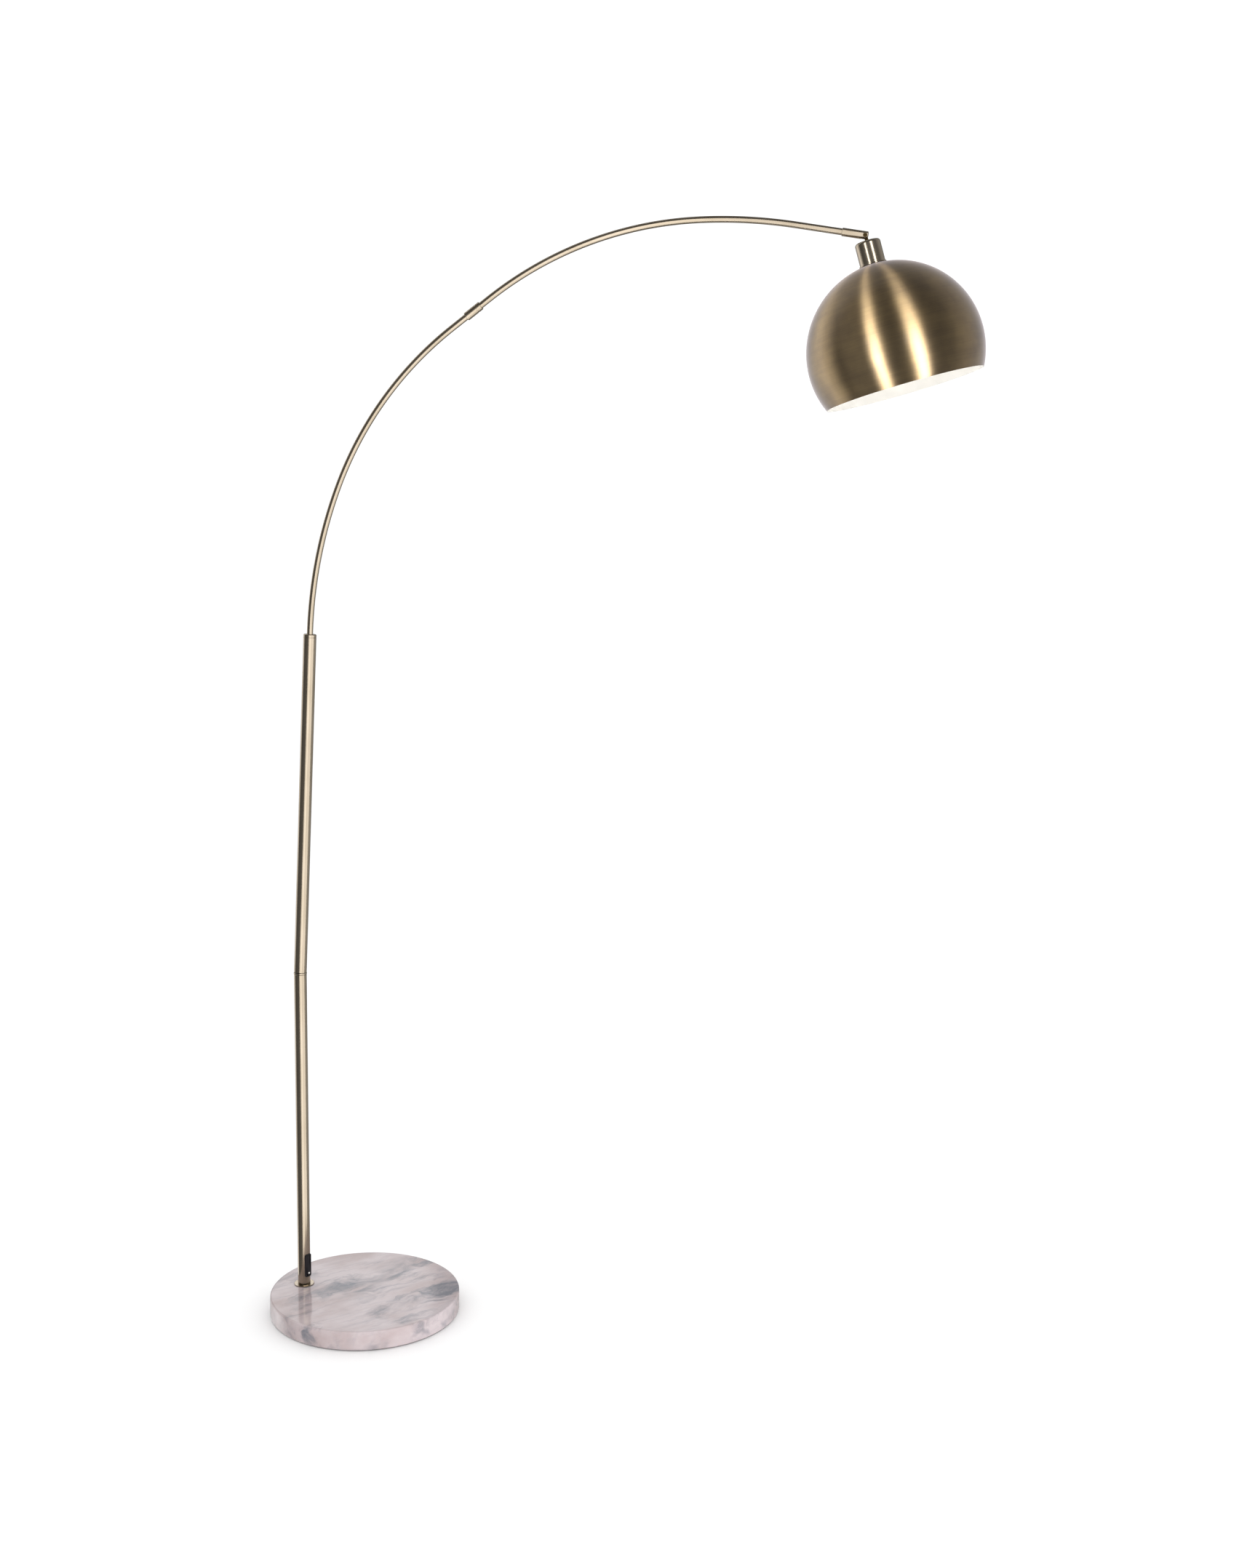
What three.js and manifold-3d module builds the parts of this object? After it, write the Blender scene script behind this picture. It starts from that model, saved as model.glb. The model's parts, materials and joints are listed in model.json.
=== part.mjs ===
// Arc floor lamp: marble foot, two-piece pole, two-piece bowed arm, tilting dome shade.
// Units are millimetres, +Z is up, +X is the way the arm reaches.
// The origin is the centre of the foot's underside, on the floor.
import * as THREE from "three";
import { mergeVertices } from "three/addons/utils/BufferGeometryUtils.js";
import Module from "manifold-3d";

const wasm = await Module();
wasm.setup();

const degrees = Math.PI / 180;
const gap = 0.3; // clearance between pieces that touch

// ---- driving dimensions ----
const foot = { diameter: 302, height: 32, feltRadius: 138, feltThickness: 1.6, edge: 2.5 };
const poleX = -104.5; // the pole stands behind the middle of the foot
const pole = { radius: 10, bore: 8.8, kinkHeight: 552, upperLength: 537, lean: 2.42 * degrees };
const thread = { footRadius: 6, joinRadius: 5, footBore: 4.2, joinBore: 3.6 };
const recess = { radius: 24, height: 22, grooveWidth: 9, grooveHeight: 10 };
const collar = { radius: 16, thickness: 1.2, edge: 0.6 };
const rocker = {
  azimuth: -27 * degrees,
  height: 66,
  length: 31.8,
  width: 6.6,
  half: 4 * degrees, // slope of each half of its shallow V
  pivot: 3.2, // from the pole's axis to the rocker's pin
  dot: 2.9, // from the rocker's foot to the middle of the white dot
};
const bezel = { length: 38.6, width: 12, face: 11.1, corner: 3.2, edge: 0.5, back: 7.3 };
// Half sizes across and along the switch, from the rocker's opening out to the pole's window.
const well = { opening: 3.6, openingAlong: 16.9, body: 4.5, bodyAlong: 17.4, neck: 4.7, neckAlong: 17.6 };
const arm = { radius: 4.7, bore: 3.7, stub: 60, split: 568 };
const armRuns = [
  { radius: 682, bend: 19.5 * degrees },
  { radius: 536, bend: 31.5 * degrees },
  { length: 71 },
  { radius: 546, bend: 34.6 * degrees },
  { radius: 732, bend: 10.9 * degrees },
  { length: 108 },
];
const sleeve = { radius: 6.4, length: 27, grooveAt: 6 };
const ferrule = { radius: 5.8, length: 36.5, slot: 5.4, slotDepth: 6.4, beyondPivot: 3.6, socket: 15.5 };
const pivotAlong = 1165.8; // distance along the arm from the pole's top to the shade's pivot
const tongue = { thickness: 3.4, radius: 3.4, neck: 5 };
const tilt = 16.7 * degrees; // lean of the shade's axis from upright
const cup = { radius: 18.1, top: -8.4, bottom: -41.85, wall: 1.2, lip: 19.3, shoulder: 4.2 };
const shade = { radius: 124.5, wall: 0.6, crown: -40.8, rimBelowCentre: 52.8 };
const flex = { radius: 2.2 };
const facets = { foot: 72, shade: 44, tube: 28, cup: 28, arm: 16, small: 16 };
const pivotScrew = { radius: 1.5, hole: 1.8, headRadius: 2.9, headHeight: 1.5 };
const tiltWasher = { radius: 3.3, thickness: 0.4 };
const grub = { radius: 1.9, key: 2, length: 4.4, belowTop: 13 };

// ---- materials ----
const finish = (color, roughness, metalness) =>
  new THREE.MeshStandardMaterial({ color, roughness, metalness });
const materials = {
  marble: () => finish(0xd8d2d2, 0.15, 0),
  felt: () => finish(0x2a2a2c, 0.95, 0),
  tubeBrass: () => finish(0xb39a6b, 0.25, 1),
  shadeBrass: () => finish(0x8c7650, 0.35, 1),
  rawBrass: () => finish(0xb8964e, 0.35, 1),
  steel: () => finish(0xa8abad, 0.35, 1),
  blackPlastic: () => finish(0x141316, 0.35, 0),
  whitePlastic: () => finish(0xf2efe9, 0.4, 0),
  nylon: () => finish(0xdcd8cc, 0.5, 0),
  porcelain: () => finish(0xf1eee6, 0.2, 0),
  opalGlass: () => finish(0xfaf7f0, 0.15, 0),
  capMetal: () => finish(0xc9cbcd, 0.3, 1),
  rubber: () => finish(0x1b1b1d, 0.8, 0),
};

// ---- shape helpers ----
function piece(name, geometry, material) {
  const mesh = new THREE.Mesh(geometry, material());
  mesh.name = name;
  return mesh;
}

// A profile of [radius, height] points turned about Z; it starts and ends on the axis, or closes.
function turned(profile, segments = facets.small) {
  const open = profile[0][0] === 0;
  const points = open ? profile : [...profile, profile[0]];
  let area = 0;
  points.forEach(([r, z], i) => {
    const [r2, z2] = points[(i + 1) % points.length];
    area += r * z2 - r2 * z;
  });
  const ordered = area > 0 ? points : [...points].reverse();
  const lathe = new THREE.LatheGeometry(ordered.map(([r, z]) => new THREE.Vector2(r, z)), segments);
  return lathe.rotateX(Math.PI / 2);
}

const ring = (inner, outer, low, high, segments = facets.small) =>
  turned([[inner, low], [outer, low], [outer, high], [inner, high]], segments);

const rod = (radius, low, high, segments = 14) =>
  turned([[0, low], [radius, low], [radius, high], [0, high]], segments);

// A rod laid along +X or +Y, from one distance to another.
const rodX = (radius, from, to, segments = 14) => rod(radius, from, to, segments).rotateY(Math.PI / 2);
const rodY = (radius, from, to, segments = 14) => rod(radius, -to, -from, segments).rotateX(Math.PI / 2);

function block(x0, x1, y0, y1, z0, z1) {
  const box = new THREE.BoxGeometry(x1 - x0, y1 - y0, z1 - z0);
  return box.translate((x0 + x1) / 2, (y0 + y1) / 2, (z0 + z1) / 2);
}

// A regular polygon with a corner on each axis where the number of sides allows it.
function polygon(radius, sides) {
  const corners = Array.from({ length: sides }, (_, i) => {
    const a = (i * 2 * Math.PI) / sides;
    return new THREE.Vector2(radius * Math.cos(a), radius * Math.sin(a));
  });
  return new THREE.Shape(corners);
}

const hexagon = (acrossFlats, low, high) =>
  new THREE.ExtrudeGeometry(polygon(acrossFlats / Math.sqrt(3), 6), {
    depth: high - low,
    bevelEnabled: false,
  }).translate(0, 0, low);

// A round section swept along a curve, with a bore when an inner radius is given.
function swept(curve, outer, inner, sides, steps) {
  const section = polygon(outer, sides);
  if (inner > 0) section.holes.push(polygon(inner, sides));
  return new THREE.ExtrudeGeometry(section, { extrudePath: curve, steps, bevelEnabled: false });
}

// Quarter-circle corner of a profile, from one angle to another about a centre.
function corner(r, z, radius, from, to, steps = 3) {
  return Array.from({ length: steps + 1 }, (_, i) => {
    const a = (from + ((to - from) * i) / steps) * degrees;
    return [r + radius * Math.cos(a), z + radius * Math.sin(a)];
  });
}

// ---- joining and cutting ----
function solid(geometry) {
  const bare = geometry.clone();
  bare.deleteAttribute("normal");
  bare.deleteAttribute("uv");
  const merged = mergeVertices(bare, 1e-4);
  return new wasm.Manifold(
    new wasm.Mesh({
      numProp: 3,
      vertProperties: merged.attributes.position.array,
      triVerts: new Uint32Array(merged.index.array),
    }),
  );
}

function surface(manifold) {
  const mesh = manifold.getMesh();
  const geometry = new THREE.BufferGeometry();
  geometry.setAttribute("position", new THREE.BufferAttribute(mesh.vertProperties, 3));
  geometry.setIndex(new THREE.BufferAttribute(mesh.triVerts, 1));
  const faceted = geometry.toNonIndexed();
  faceted.computeVertexNormals();
  return faceted;
}

const cut = (body, ...tools) =>
  surface(tools.reduce((left, tool) => left.subtract(solid(tool)), solid(body)));

const join = (...bodies) =>
  surface(bodies.slice(1).reduce((all, body) => all.add(solid(body)), solid(bodies[0])));

// ---- the arm's centre line ----
// Point and heading at a distance along the arm from the pole's top, in the arm's own frame:
// it leaves the pole along +Z and bends towards +X through straights and arcs in turn.
function armPoint(along) {
  let x = 0;
  let z = 0;
  let heading = Math.PI / 2;
  let left = along;
  if (left < 0) return { x, z: left, heading };
  for (const run of armRuns) {
    const length = run.length ?? run.radius * run.bend;
    const used = Math.min(left, length);
    if (run.radius) {
      const turn = used / run.radius;
      x += run.radius * (Math.sin(heading) - Math.sin(heading - turn));
      z += run.radius * (Math.cos(heading - turn) - Math.cos(heading));
      heading -= turn;
    } else {
      x += used * Math.cos(heading);
      z += used * Math.sin(heading);
    }
    left -= used;
    if (left <= 0) break;
  }
  return { x, z, heading };
}

class ArmCurve extends THREE.Curve {
  constructor(from, to) {
    super();
    this.from = from;
    this.to = to;
  }

  getPoint(t, target = new THREE.Vector3()) {
    const { x, z } = armPoint(this.from + (this.to - this.from) * t);
    return target.set(x, 0, z);
  }
}

// A group whose +Z runs along the arm at the given distance.
function atArm(along) {
  const { x, z, heading } = armPoint(along);
  const group = new THREE.Group();
  group.position.set(x, 0, z);
  group.rotation.y = Math.PI / 2 - heading;
  return group;
}

// ---- foot ----
function makeFoot() {
  const group = new THREE.Group();
  const radius = foot.diameter / 2;
  const low = foot.feltThickness + gap;
  const stone = turned(
    [
      [0, low],
      [radius - 1.5, low],
      [radius, low + 1.5],
      ...corner(radius - foot.edge, foot.height - foot.edge, foot.edge, 0, 90),
      [0, foot.height],
    ],
    facets.foot,
  );
  const marble = cut(
    stone,
    rod(thread.footRadius + 0.6, 0, foot.height + 5, 20).translate(poleX, 0, 0),
    rod(recess.radius, -1, recess.height, 28).translate(poleX, 0, 0),
    block(-radius - 5, poleX, -recess.grooveWidth / 2, recess.grooveWidth / 2, -1, recess.grooveHeight),
  );
  group.add(piece("marble_base", marble, materials.marble));
  group.add(piece("underside_felt", rod(foot.feltRadius, 0, foot.feltThickness, 40), materials.felt));

  const mouth = -radius + 0.6;
  const half = recess.grooveWidth / 2 - gap;
  const bush = cut(
    block(mouth, mouth + 9, -half, half, low + gap, recess.grooveHeight - gap),
    rodX(flex.radius + 0.2, mouth - 1, mouth + 10, 12).translate(0, 0, 4.9),
  );
  group.add(piece("cord_outlet_bush", bush, materials.rubber));
  return group;
}

// Everything that clamps the pole to the foot, on the pole's axis.
function makeFootFixing() {
  const group = new THREE.Group();
  const hole = thread.footRadius + gap;
  const studTop = foot.height + 11;
  const washerTop = recess.height - gap;
  const collarTop = foot.height + gap + collar.thickness;
  group.add(
    piece("foot_collar", turned([
      [hole, foot.height + gap],
      [collar.radius, foot.height + gap],
      ...corner(collar.radius - collar.edge, collarTop - collar.edge, collar.edge, 0, 90, 2),
      [hole, collarTop],
    ], facets.tube), materials.tubeBrass),
    piece("base_stud", ring(thread.footBore, thread.footRadius, washerTop - 10.2, studTop), materials.steel),
    piece("base_washer", ring(hole, 20, washerTop - 2.4, washerTop), materials.steel),
    piece("base_lock_washer", cut(
      ring(hole, 10.4, washerTop - 4.5, washerTop - 2.7),
      block(0, 12, -0.6, 0.6, 0, recess.height),
    ), materials.steel),
    piece("base_nut", cut(
      hexagon(18, washerTop - 9.6, washerTop - 4.8),
      rod(hole, 0, recess.height, 20),
    ), materials.steel),
  );
  return group;
}

// ---- pole ----
const tubeFoot = foot.height + collar.thickness + 2 * gap;
const insertRadius = pole.bore - gap;

function makeLowerPole() {
  const group = new THREE.Group();
  const top = pole.kinkHeight - 1.8;
  const joinHole = thread.joinRadius + 0.8;
  const across = well.neck + gap;
  const along = well.neckAlong + gap;
  const window = block(0, 2 * pole.radius, -across, across, -along, along)
    .translate(0, 0, rocker.height)
    .rotateZ(rocker.azimuth);
  group.add(
    piece("pole_lower_tube", cut(ring(pole.bore, pole.radius, tubeFoot, top, facets.tube), window),
      materials.tubeBrass),
    piece("pole_foot_insert", ring(thread.footRadius + gap, insertRadius, tubeFoot + gap, tubeFoot + 7.3),
      materials.steel),
    piece("pole_lower_insert", ring(joinHole, insertRadius, top - 15, top - gap), materials.steel),
    piece("pole_joint_ring", turned([
      [joinHole, top + gap],
      [pole.radius, top + gap],
      [pole.radius + 0.35, top + gap + 0.5],
      [pole.radius + 0.35, top + gap + 2.2],
      [pole.radius, top + gap + 2.7],
      [joinHole, top + gap + 2.7],
    ], facets.tube), materials.tubeBrass),
  );
  const nipple = piece("pole_joint_nipple",
    ring(thread.joinBore, thread.joinRadius, -14, 15), materials.steel);
  nipple.position.z = pole.kinkHeight;
  nipple.rotation.y = pole.lean / 2;
  group.add(nipple);
  return group;
}

function makeUpperPole() {
  const group = new THREE.Group();
  group.position.z = pole.kinkHeight;
  group.rotation.y = pole.lean;
  const low = 2.1;
  const top = pole.upperLength;
  const capLow = top - 4.7;
  const bore = arm.radius + gap;
  const screwHeight = top - grub.belowTop;
  const screwHole = rodX(2.2, -20, 0, 12).translate(0, 0, screwHeight);
  group.add(
    piece("pole_upper_insert", ring(thread.joinRadius + 0.8, insertRadius, low + gap, low + 16),
      materials.steel),
    piece("pole_upper_tube", cut(ring(pole.bore, pole.radius, low, capLow - gap, facets.tube), screwHole),
      materials.tubeBrass),
    piece("pole_top_bush", cut(turned([
      [bore, top],
      [bore, top - 26],
      [insertRadius, top - 26],
      [insertRadius, capLow],
      [pole.radius, capLow],
      ...corner(pole.radius - 1.8, top - 1.8, 1.8, 0, 90),
    ], facets.tube), screwHole), materials.tubeBrass),
  );
  const tip = -bore - 0.1;
  const socket = hexagon(grub.key, 0, grub.length / 2).rotateY(-Math.PI / 2);
  const screw = cut(
    rodX(grub.radius, tip - grub.length, tip, 12),
    socket.translate(tip - grub.length * 0.65, 0, 0),
  );
  group.add(piece("arm_set_screw", screw.translate(0, 0, screwHeight), materials.steel));
  return group;
}

// ---- leads held inside the foot and the pole ----
function makeLeads() {
  const group = new THREE.Group();
  // Along the groove, round a quarter turn and up the middle of the hollow stud.
  const bend = 11;
  const laid = foot.feltThickness + gap + flex.radius + 0.4;
  const turn = Array.from({ length: 7 }, (_, i) => {
    const a = (i * Math.PI) / 12;
    return new THREE.Vector3(poleX - bend + bend * Math.sin(a), 0, laid + bend * (1 - Math.cos(a)));
  });
  const inlet = new THREE.CatmullRomCurve3([
    new THREE.Vector3(poleX - 36, 0, laid),
    new THREE.Vector3(poleX - 22, 0, laid),
    ...turn,
    new THREE.Vector3(poleX, 0, laid + bend + 12),
    new THREE.Vector3(poleX, 0, tubeFoot + 8.5),
  ]);
  group.add(piece("lead_inlet", swept(inlet, flex.radius, 0, 8, 18), materials.rubber));
  const upperEnd = pole.upperLength - arm.stub - 14;
  const rise = new THREE.CurvePath();
  const kink = new THREE.Vector3(poleX, 0, pole.kinkHeight);
  const end = new THREE.Vector3(Math.sin(pole.lean), 0, Math.cos(pole.lean));
  rise.add(new THREE.LineCurve3(new THREE.Vector3(poleX, 0, rocker.height + 20), kink));
  rise.add(new THREE.LineCurve3(kink, end.multiplyScalar(upperEnd).add(kink)));
  group.add(piece("lead_pole", swept(rise, flex.radius, 0, 8, 16), materials.rubber));
  return group;
}

// ---- rocker switch, set in the pole's wall; +X is its outward face ----
function makeSwitch() {
  const group = new THREE.Group();
  group.rotation.z = rocker.azimuth;
  group.position.z = rocker.height;
  const half = bezel.length / 2;
  const plateShape = new THREE.Shape();
  const r = bezel.corner;
  const w = bezel.width / 2;
  const { edge, back } = bezel;
  plateShape.moveTo(-w + r, -half);
  plateShape.absarc(w - r, -half + r, r, -Math.PI / 2, 0);
  plateShape.absarc(w - r, half - r, r, 0, Math.PI / 2);
  plateShape.absarc(-w + r, half - r, r, Math.PI / 2, Math.PI);
  plateShape.absarc(-w + r, -half + r, r, Math.PI, 1.5 * Math.PI);
  // The outline lies in the plane across +X: its first axis goes to +Y, its second to +Z.
  const plate = new THREE.ExtrudeGeometry(plateShape, {
    depth: bezel.face - back - edge,
    bevelEnabled: true,
    bevelThickness: edge,
    bevelSize: edge,
    bevelOffset: -edge,
    bevelSegments: 1,
    curveSegments: 4,
  });
  plate.applyMatrix4(new THREE.Matrix4().set(0, 0, 1, back, 1, 0, 0, 0, 0, 1, 0, 0, 0, 0, 0, 1));
  const saddle = cut(plate, rod(pole.radius + gap, -half - 5, half + 5, 36));
  const { opening, openingAlong, body, bodyAlong } = well;
  const neck = block(5.2, bezel.face - edge, -well.neck, well.neck, -well.neckAlong, well.neckAlong);
  const hole = block(0, 2 * bezel.face, -opening, opening, -openingAlong, openingAlong);
  const frame = cut(join(saddle, neck), hole);
  group.add(piece("switch_bezel", frame, materials.blackPlastic));

  const box = cut(
    block(-4.6, 4.9, -body, body, -bodyAlong, bodyAlong),
    block(-3.4, 6, -opening, opening, -bodyAlong + 0.7, bodyAlong - 0.7),
    rodY(0.95, -8, 8, 10).translate(rocker.pivot, 0, 0),
  );
  group.add(piece("switch_body", box, materials.blackPlastic));
  for (const [name, z] of [["switch_terminal_feed", -9], ["switch_terminal_load", 9]]) {
    group.add(piece(name, block(-7.7, -4.9, -2, 2, z - 0.4, z + 0.4), materials.rawBrass));
  }
  group.add(piece("switch_contact", block(-3.1, -2.5, -2, 2, -12, 12), materials.rawBrass));
  const pin = rodY(0.8, -body + 0.2, body - 0.2, 10).translate(rocker.pivot, 0, 0);
  group.add(piece("switch_pin", pin, materials.steel));

  // The face is a shallow V; at rest its upper half lies level with the bezel and its foot stands proud.
  const key = new THREE.Group();
  key.position.x = rocker.pivot;
  key.rotation.y = -rocker.half;
  const reach = rocker.length / 2;
  const crest = bezel.face - 0.6 - rocker.pivot;
  const outline = new THREE.Shape([
    new THREE.Vector2(crest, 0),
    new THREE.Vector2(crest + reach * Math.tan(rocker.half), reach),
    new THREE.Vector2(crest - 3.2, reach - 0.5),
    new THREE.Vector2(1.2, 4),
    new THREE.Vector2(-1.9, 1.6),
    new THREE.Vector2(-1.9, -1.6),
    new THREE.Vector2(1.2, -4),
    new THREE.Vector2(crest - 3.2, -reach + 0.5),
    new THREE.Vector2(crest + reach * Math.tan(rocker.half), -reach),
  ]);
  const bar = new THREE.ExtrudeGeometry(outline, { depth: rocker.width, bevelEnabled: false });
  bar.rotateX(Math.PI / 2).translate(0, rocker.width / 2, 0);
  const dotHeight = -reach + rocker.dot;
  const dotFace = crest + Math.abs(dotHeight) * Math.tan(rocker.half);
  const pocket = rodX(1.9, dotFace - 0.8, dotFace + 2, 14).translate(0, 0, dotHeight);
  key.add(piece("switch_rocker", cut(bar, rodY(1.1, -8, 8, 10), pocket), materials.blackPlastic));
  key.add(piece("switch_mark", rodX(1.6, dotFace - 0.5, dotFace + 0.15, 14).translate(0, 0, dotHeight),
    materials.whitePlastic));
  group.add(key);
  return group;
}

// ---- arm ----
const armTube = (from, to) =>
  swept(new ArmCurve(from, to), arm.radius, arm.bore, facets.arm, 36);

function makeArm() {
  const group = new THREE.Group();
  group.position.z = pole.upperLength;
  group.add(
    piece("arm_lower_tube", armTube(-arm.stub, arm.split - gap), materials.tubeBrass),
    piece("arm_upper_tube", armTube(arm.split + gap, pivotAlong - 18), materials.tubeBrass),
    piece("arm_foot_bush", turned([
      [3, -arm.stub - 6],
      [insertRadius - 0.1, -arm.stub - 6],
      [insertRadius - 0.1, -arm.stub + 10],
      [arm.radius + gap, -arm.stub + 10],
      [arm.radius + gap, -arm.stub - gap],
      [3, -arm.stub - gap],
    ]), materials.nylon),
    piece("lead_arm", swept(new ArmCurve(-arm.stub - 4, pivotAlong - 14), flex.radius, 0, 8, 40),
      materials.rubber),
  );

  const joint = atArm(arm.split);
  const half = sleeve.length / 2;
  const screwHole = rodX(1.7, 0, 12, 12).translate(0, 0, -8);
  joint.add(
    piece("arm_joint_sleeve", cut(turned([
      [arm.radius + gap, -half],
      [sleeve.radius - 0.5, -half],
      [sleeve.radius, -half + 0.5],
      [sleeve.radius, sleeve.grooveAt - 0.6],
      [sleeve.radius - 0.5, sleeve.grooveAt - 0.6],
      [sleeve.radius - 0.5, sleeve.grooveAt + 0.6],
      [sleeve.radius, sleeve.grooveAt + 0.6],
      [sleeve.radius, half - 0.5],
      [sleeve.radius - 0.5, half],
      [arm.radius + gap, half],
    ], 20), screwHole), materials.tubeBrass),
    piece("arm_joint_spigot", ring(2.6, arm.bore - gap, -26, 25, 12), materials.steel),
    piece("arm_joint_screw", rodX(1.4, arm.radius + gap, sleeve.radius - 0.1, 12).translate(0, 0, -8),
      materials.steel),
  );
  group.add(joint, makeTip());
  return group;
}

// The slotted ferrule and its pivot; the origin is the pivot and +Z runs out along the arm.
function makeTip() {
  const group = atArm(pivotAlong);
  const end = ferrule.beyondPivot;
  const start = end - ferrule.length;
  const seat = start + ferrule.socket;
  const body = turned([
    [0, start],
    [ferrule.radius - 0.5, start],
    [ferrule.radius, start + 0.5],
    [ferrule.radius, end - 0.6],
    [ferrule.radius - 0.6, end],
    [0, end],
  ], 20);
  const halfSlot = ferrule.slot / 2;
  const headSeat = ferrule.radius - 0.5 - pivotScrew.headHeight;
  const holed = cut(
    body,
    rod(arm.radius + gap, start - 1, seat, 14),
    rod(flex.radius + 0.5, seat - 1, end, 12),
    block(-tongue.radius - 0.6, 10, -halfSlot, halfSlot, -ferrule.slotDepth, end + 1),
    rodY(pivotScrew.hole, -10, 10, 14),
    rodY(pivotScrew.headRadius + gap, -10, -headSeat, 18),
    rodY(pivotScrew.headRadius + 0.4, headSeat, 10, 18),
  );
  const nutCorner = pivotScrew.headRadius;
  const nut = new THREE.ExtrudeGeometry(polygon(nutCorner, 6), { depth: 1.6, bevelEnabled: false });
  const nutLow = headSeat + gap;
  group.add(
    piece("tip_ferrule", holed, materials.tubeBrass),
    piece("tilt_screw", cut(
      join(
        rodY(pivotScrew.radius, -headSeat - 1, headSeat + 1.6, 14),
        rodY(pivotScrew.headRadius, -headSeat - gap - pivotScrew.headHeight + 0.3, -headSeat - gap, 18),
      ),
      block(-0.4, 0.4, -10, -headSeat - gap - 0.7, -4, 4),
    ), materials.tubeBrass),
    piece("tilt_nut", cut(nut.rotateX(-Math.PI / 2).translate(0, nutLow, 0),
      rodY(pivotScrew.radius + 0.15, 0, 10, 14)), materials.tubeBrass),
  );
  const washerInner = tongue.thickness / 2 + gap;
  for (const [name, side] of [["tilt_washer_near", -1], ["tilt_washer_far", 1]]) {
    const faces = [washerInner * side, (washerInner + tiltWasher.thickness) * side];
    const disc = rodY(tiltWasher.radius, Math.min(...faces), Math.max(...faces), 18);
    group.add(piece(name, cut(disc, rodY(pivotScrew.hole, -10, 10, 14)), materials.nylon));
  }
  const head = makeHead();
  head.rotation.y = -(Math.PI / 2 - armPoint(pivotAlong).heading) - pole.lean - tilt;
  group.add(head);
  return group;
}

// ---- head: everything that tilts; the origin is the pivot and +Z is the shade's axis ----
function makeHead() {
  const group = new THREE.Group();
  const stemTop = cup.top - 0.2;
  const stemLow = shade.crown - 15;
  const half = tongue.thickness / 2;
  const stem = join(
    rodY(tongue.radius, -half, half, 20),
    block(-tongue.neck / 2, tongue.neck / 2, -half, half, stemTop - 1, 0),
    rod(thread.joinRadius, stemLow, stemTop, 20),
  );
  const wireExit = rod(1.1, -1, 9, 10).rotateY(-32 * degrees).translate(0, 0, stemTop - 6.5);
  group.add(piece("swivel_tongue", cut(
    stem,
    rodY(pivotScrew.hole, -5, 5, 14),
    rod(flex.radius + 0.1, stemLow - 1, stemTop - 5.5, 12),
    wireExit,
  ), materials.tubeBrass));
  const leadLow = shade.crown - 18;
  group.add(piece("lead_head", rod(flex.radius - 0.3, leadLow, stemTop - 7, 8), materials.rubber));
  group.add(...makeCup(), ...makeHolder(), ...makeBulb(), makeShade());
  return group;
}

function makeCup() {
  const hole = thread.joinRadius + gap;
  const { radius, top, bottom, wall, lip, shoulder } = cup;
  const profile = [
    [hole, top],
    ...corner(radius - shoulder, top - shoulder, shoulder, 90, 0),
    [radius, bottom + 2],
    [lip, bottom + 1.6],
    [lip, bottom],
    [radius - wall, bottom],
    ...corner(radius - shoulder, top - shoulder, shoulder - wall, 0, 90),
    [hole, top - wall],
  ];
  const under = top - wall;
  return [
    piece("lamp_cup", turned(profile, facets.cup), materials.shadeBrass),
    piece("cup_lock_nut", cut(hexagon(14, under - 3.6, under - gap), rod(hole, -50, 0, 20)),
      materials.steel),
  ];
}

function makeShade() {
  const { radius, wall, crown, rimBelowCentre } = shade;
  const centre = crown - radius;
  const hole = thread.joinRadius + gap;
  const steps = 12;
  const arcs = (r) => {
    const from = Math.asin(hole / r);
    const to = Math.PI / 2 + Math.asin(rimBelowCentre / r);
    return Array.from({ length: steps + 1 }, (_, i) => {
      const a = from + ((to - from) * i) / steps;
      return [r * Math.sin(a), centre + r * Math.cos(a)];
    });
  };
  const profile = [...arcs(radius), ...arcs(radius - wall).reverse()];
  return piece("shade", turned(profile, facets.shade), materials.shadeBrass);
}

// ---- lamp holder, below the shade's crown ----
const holderTop = shade.crown - 9.7;
const holderRadius = 17.2;

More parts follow.
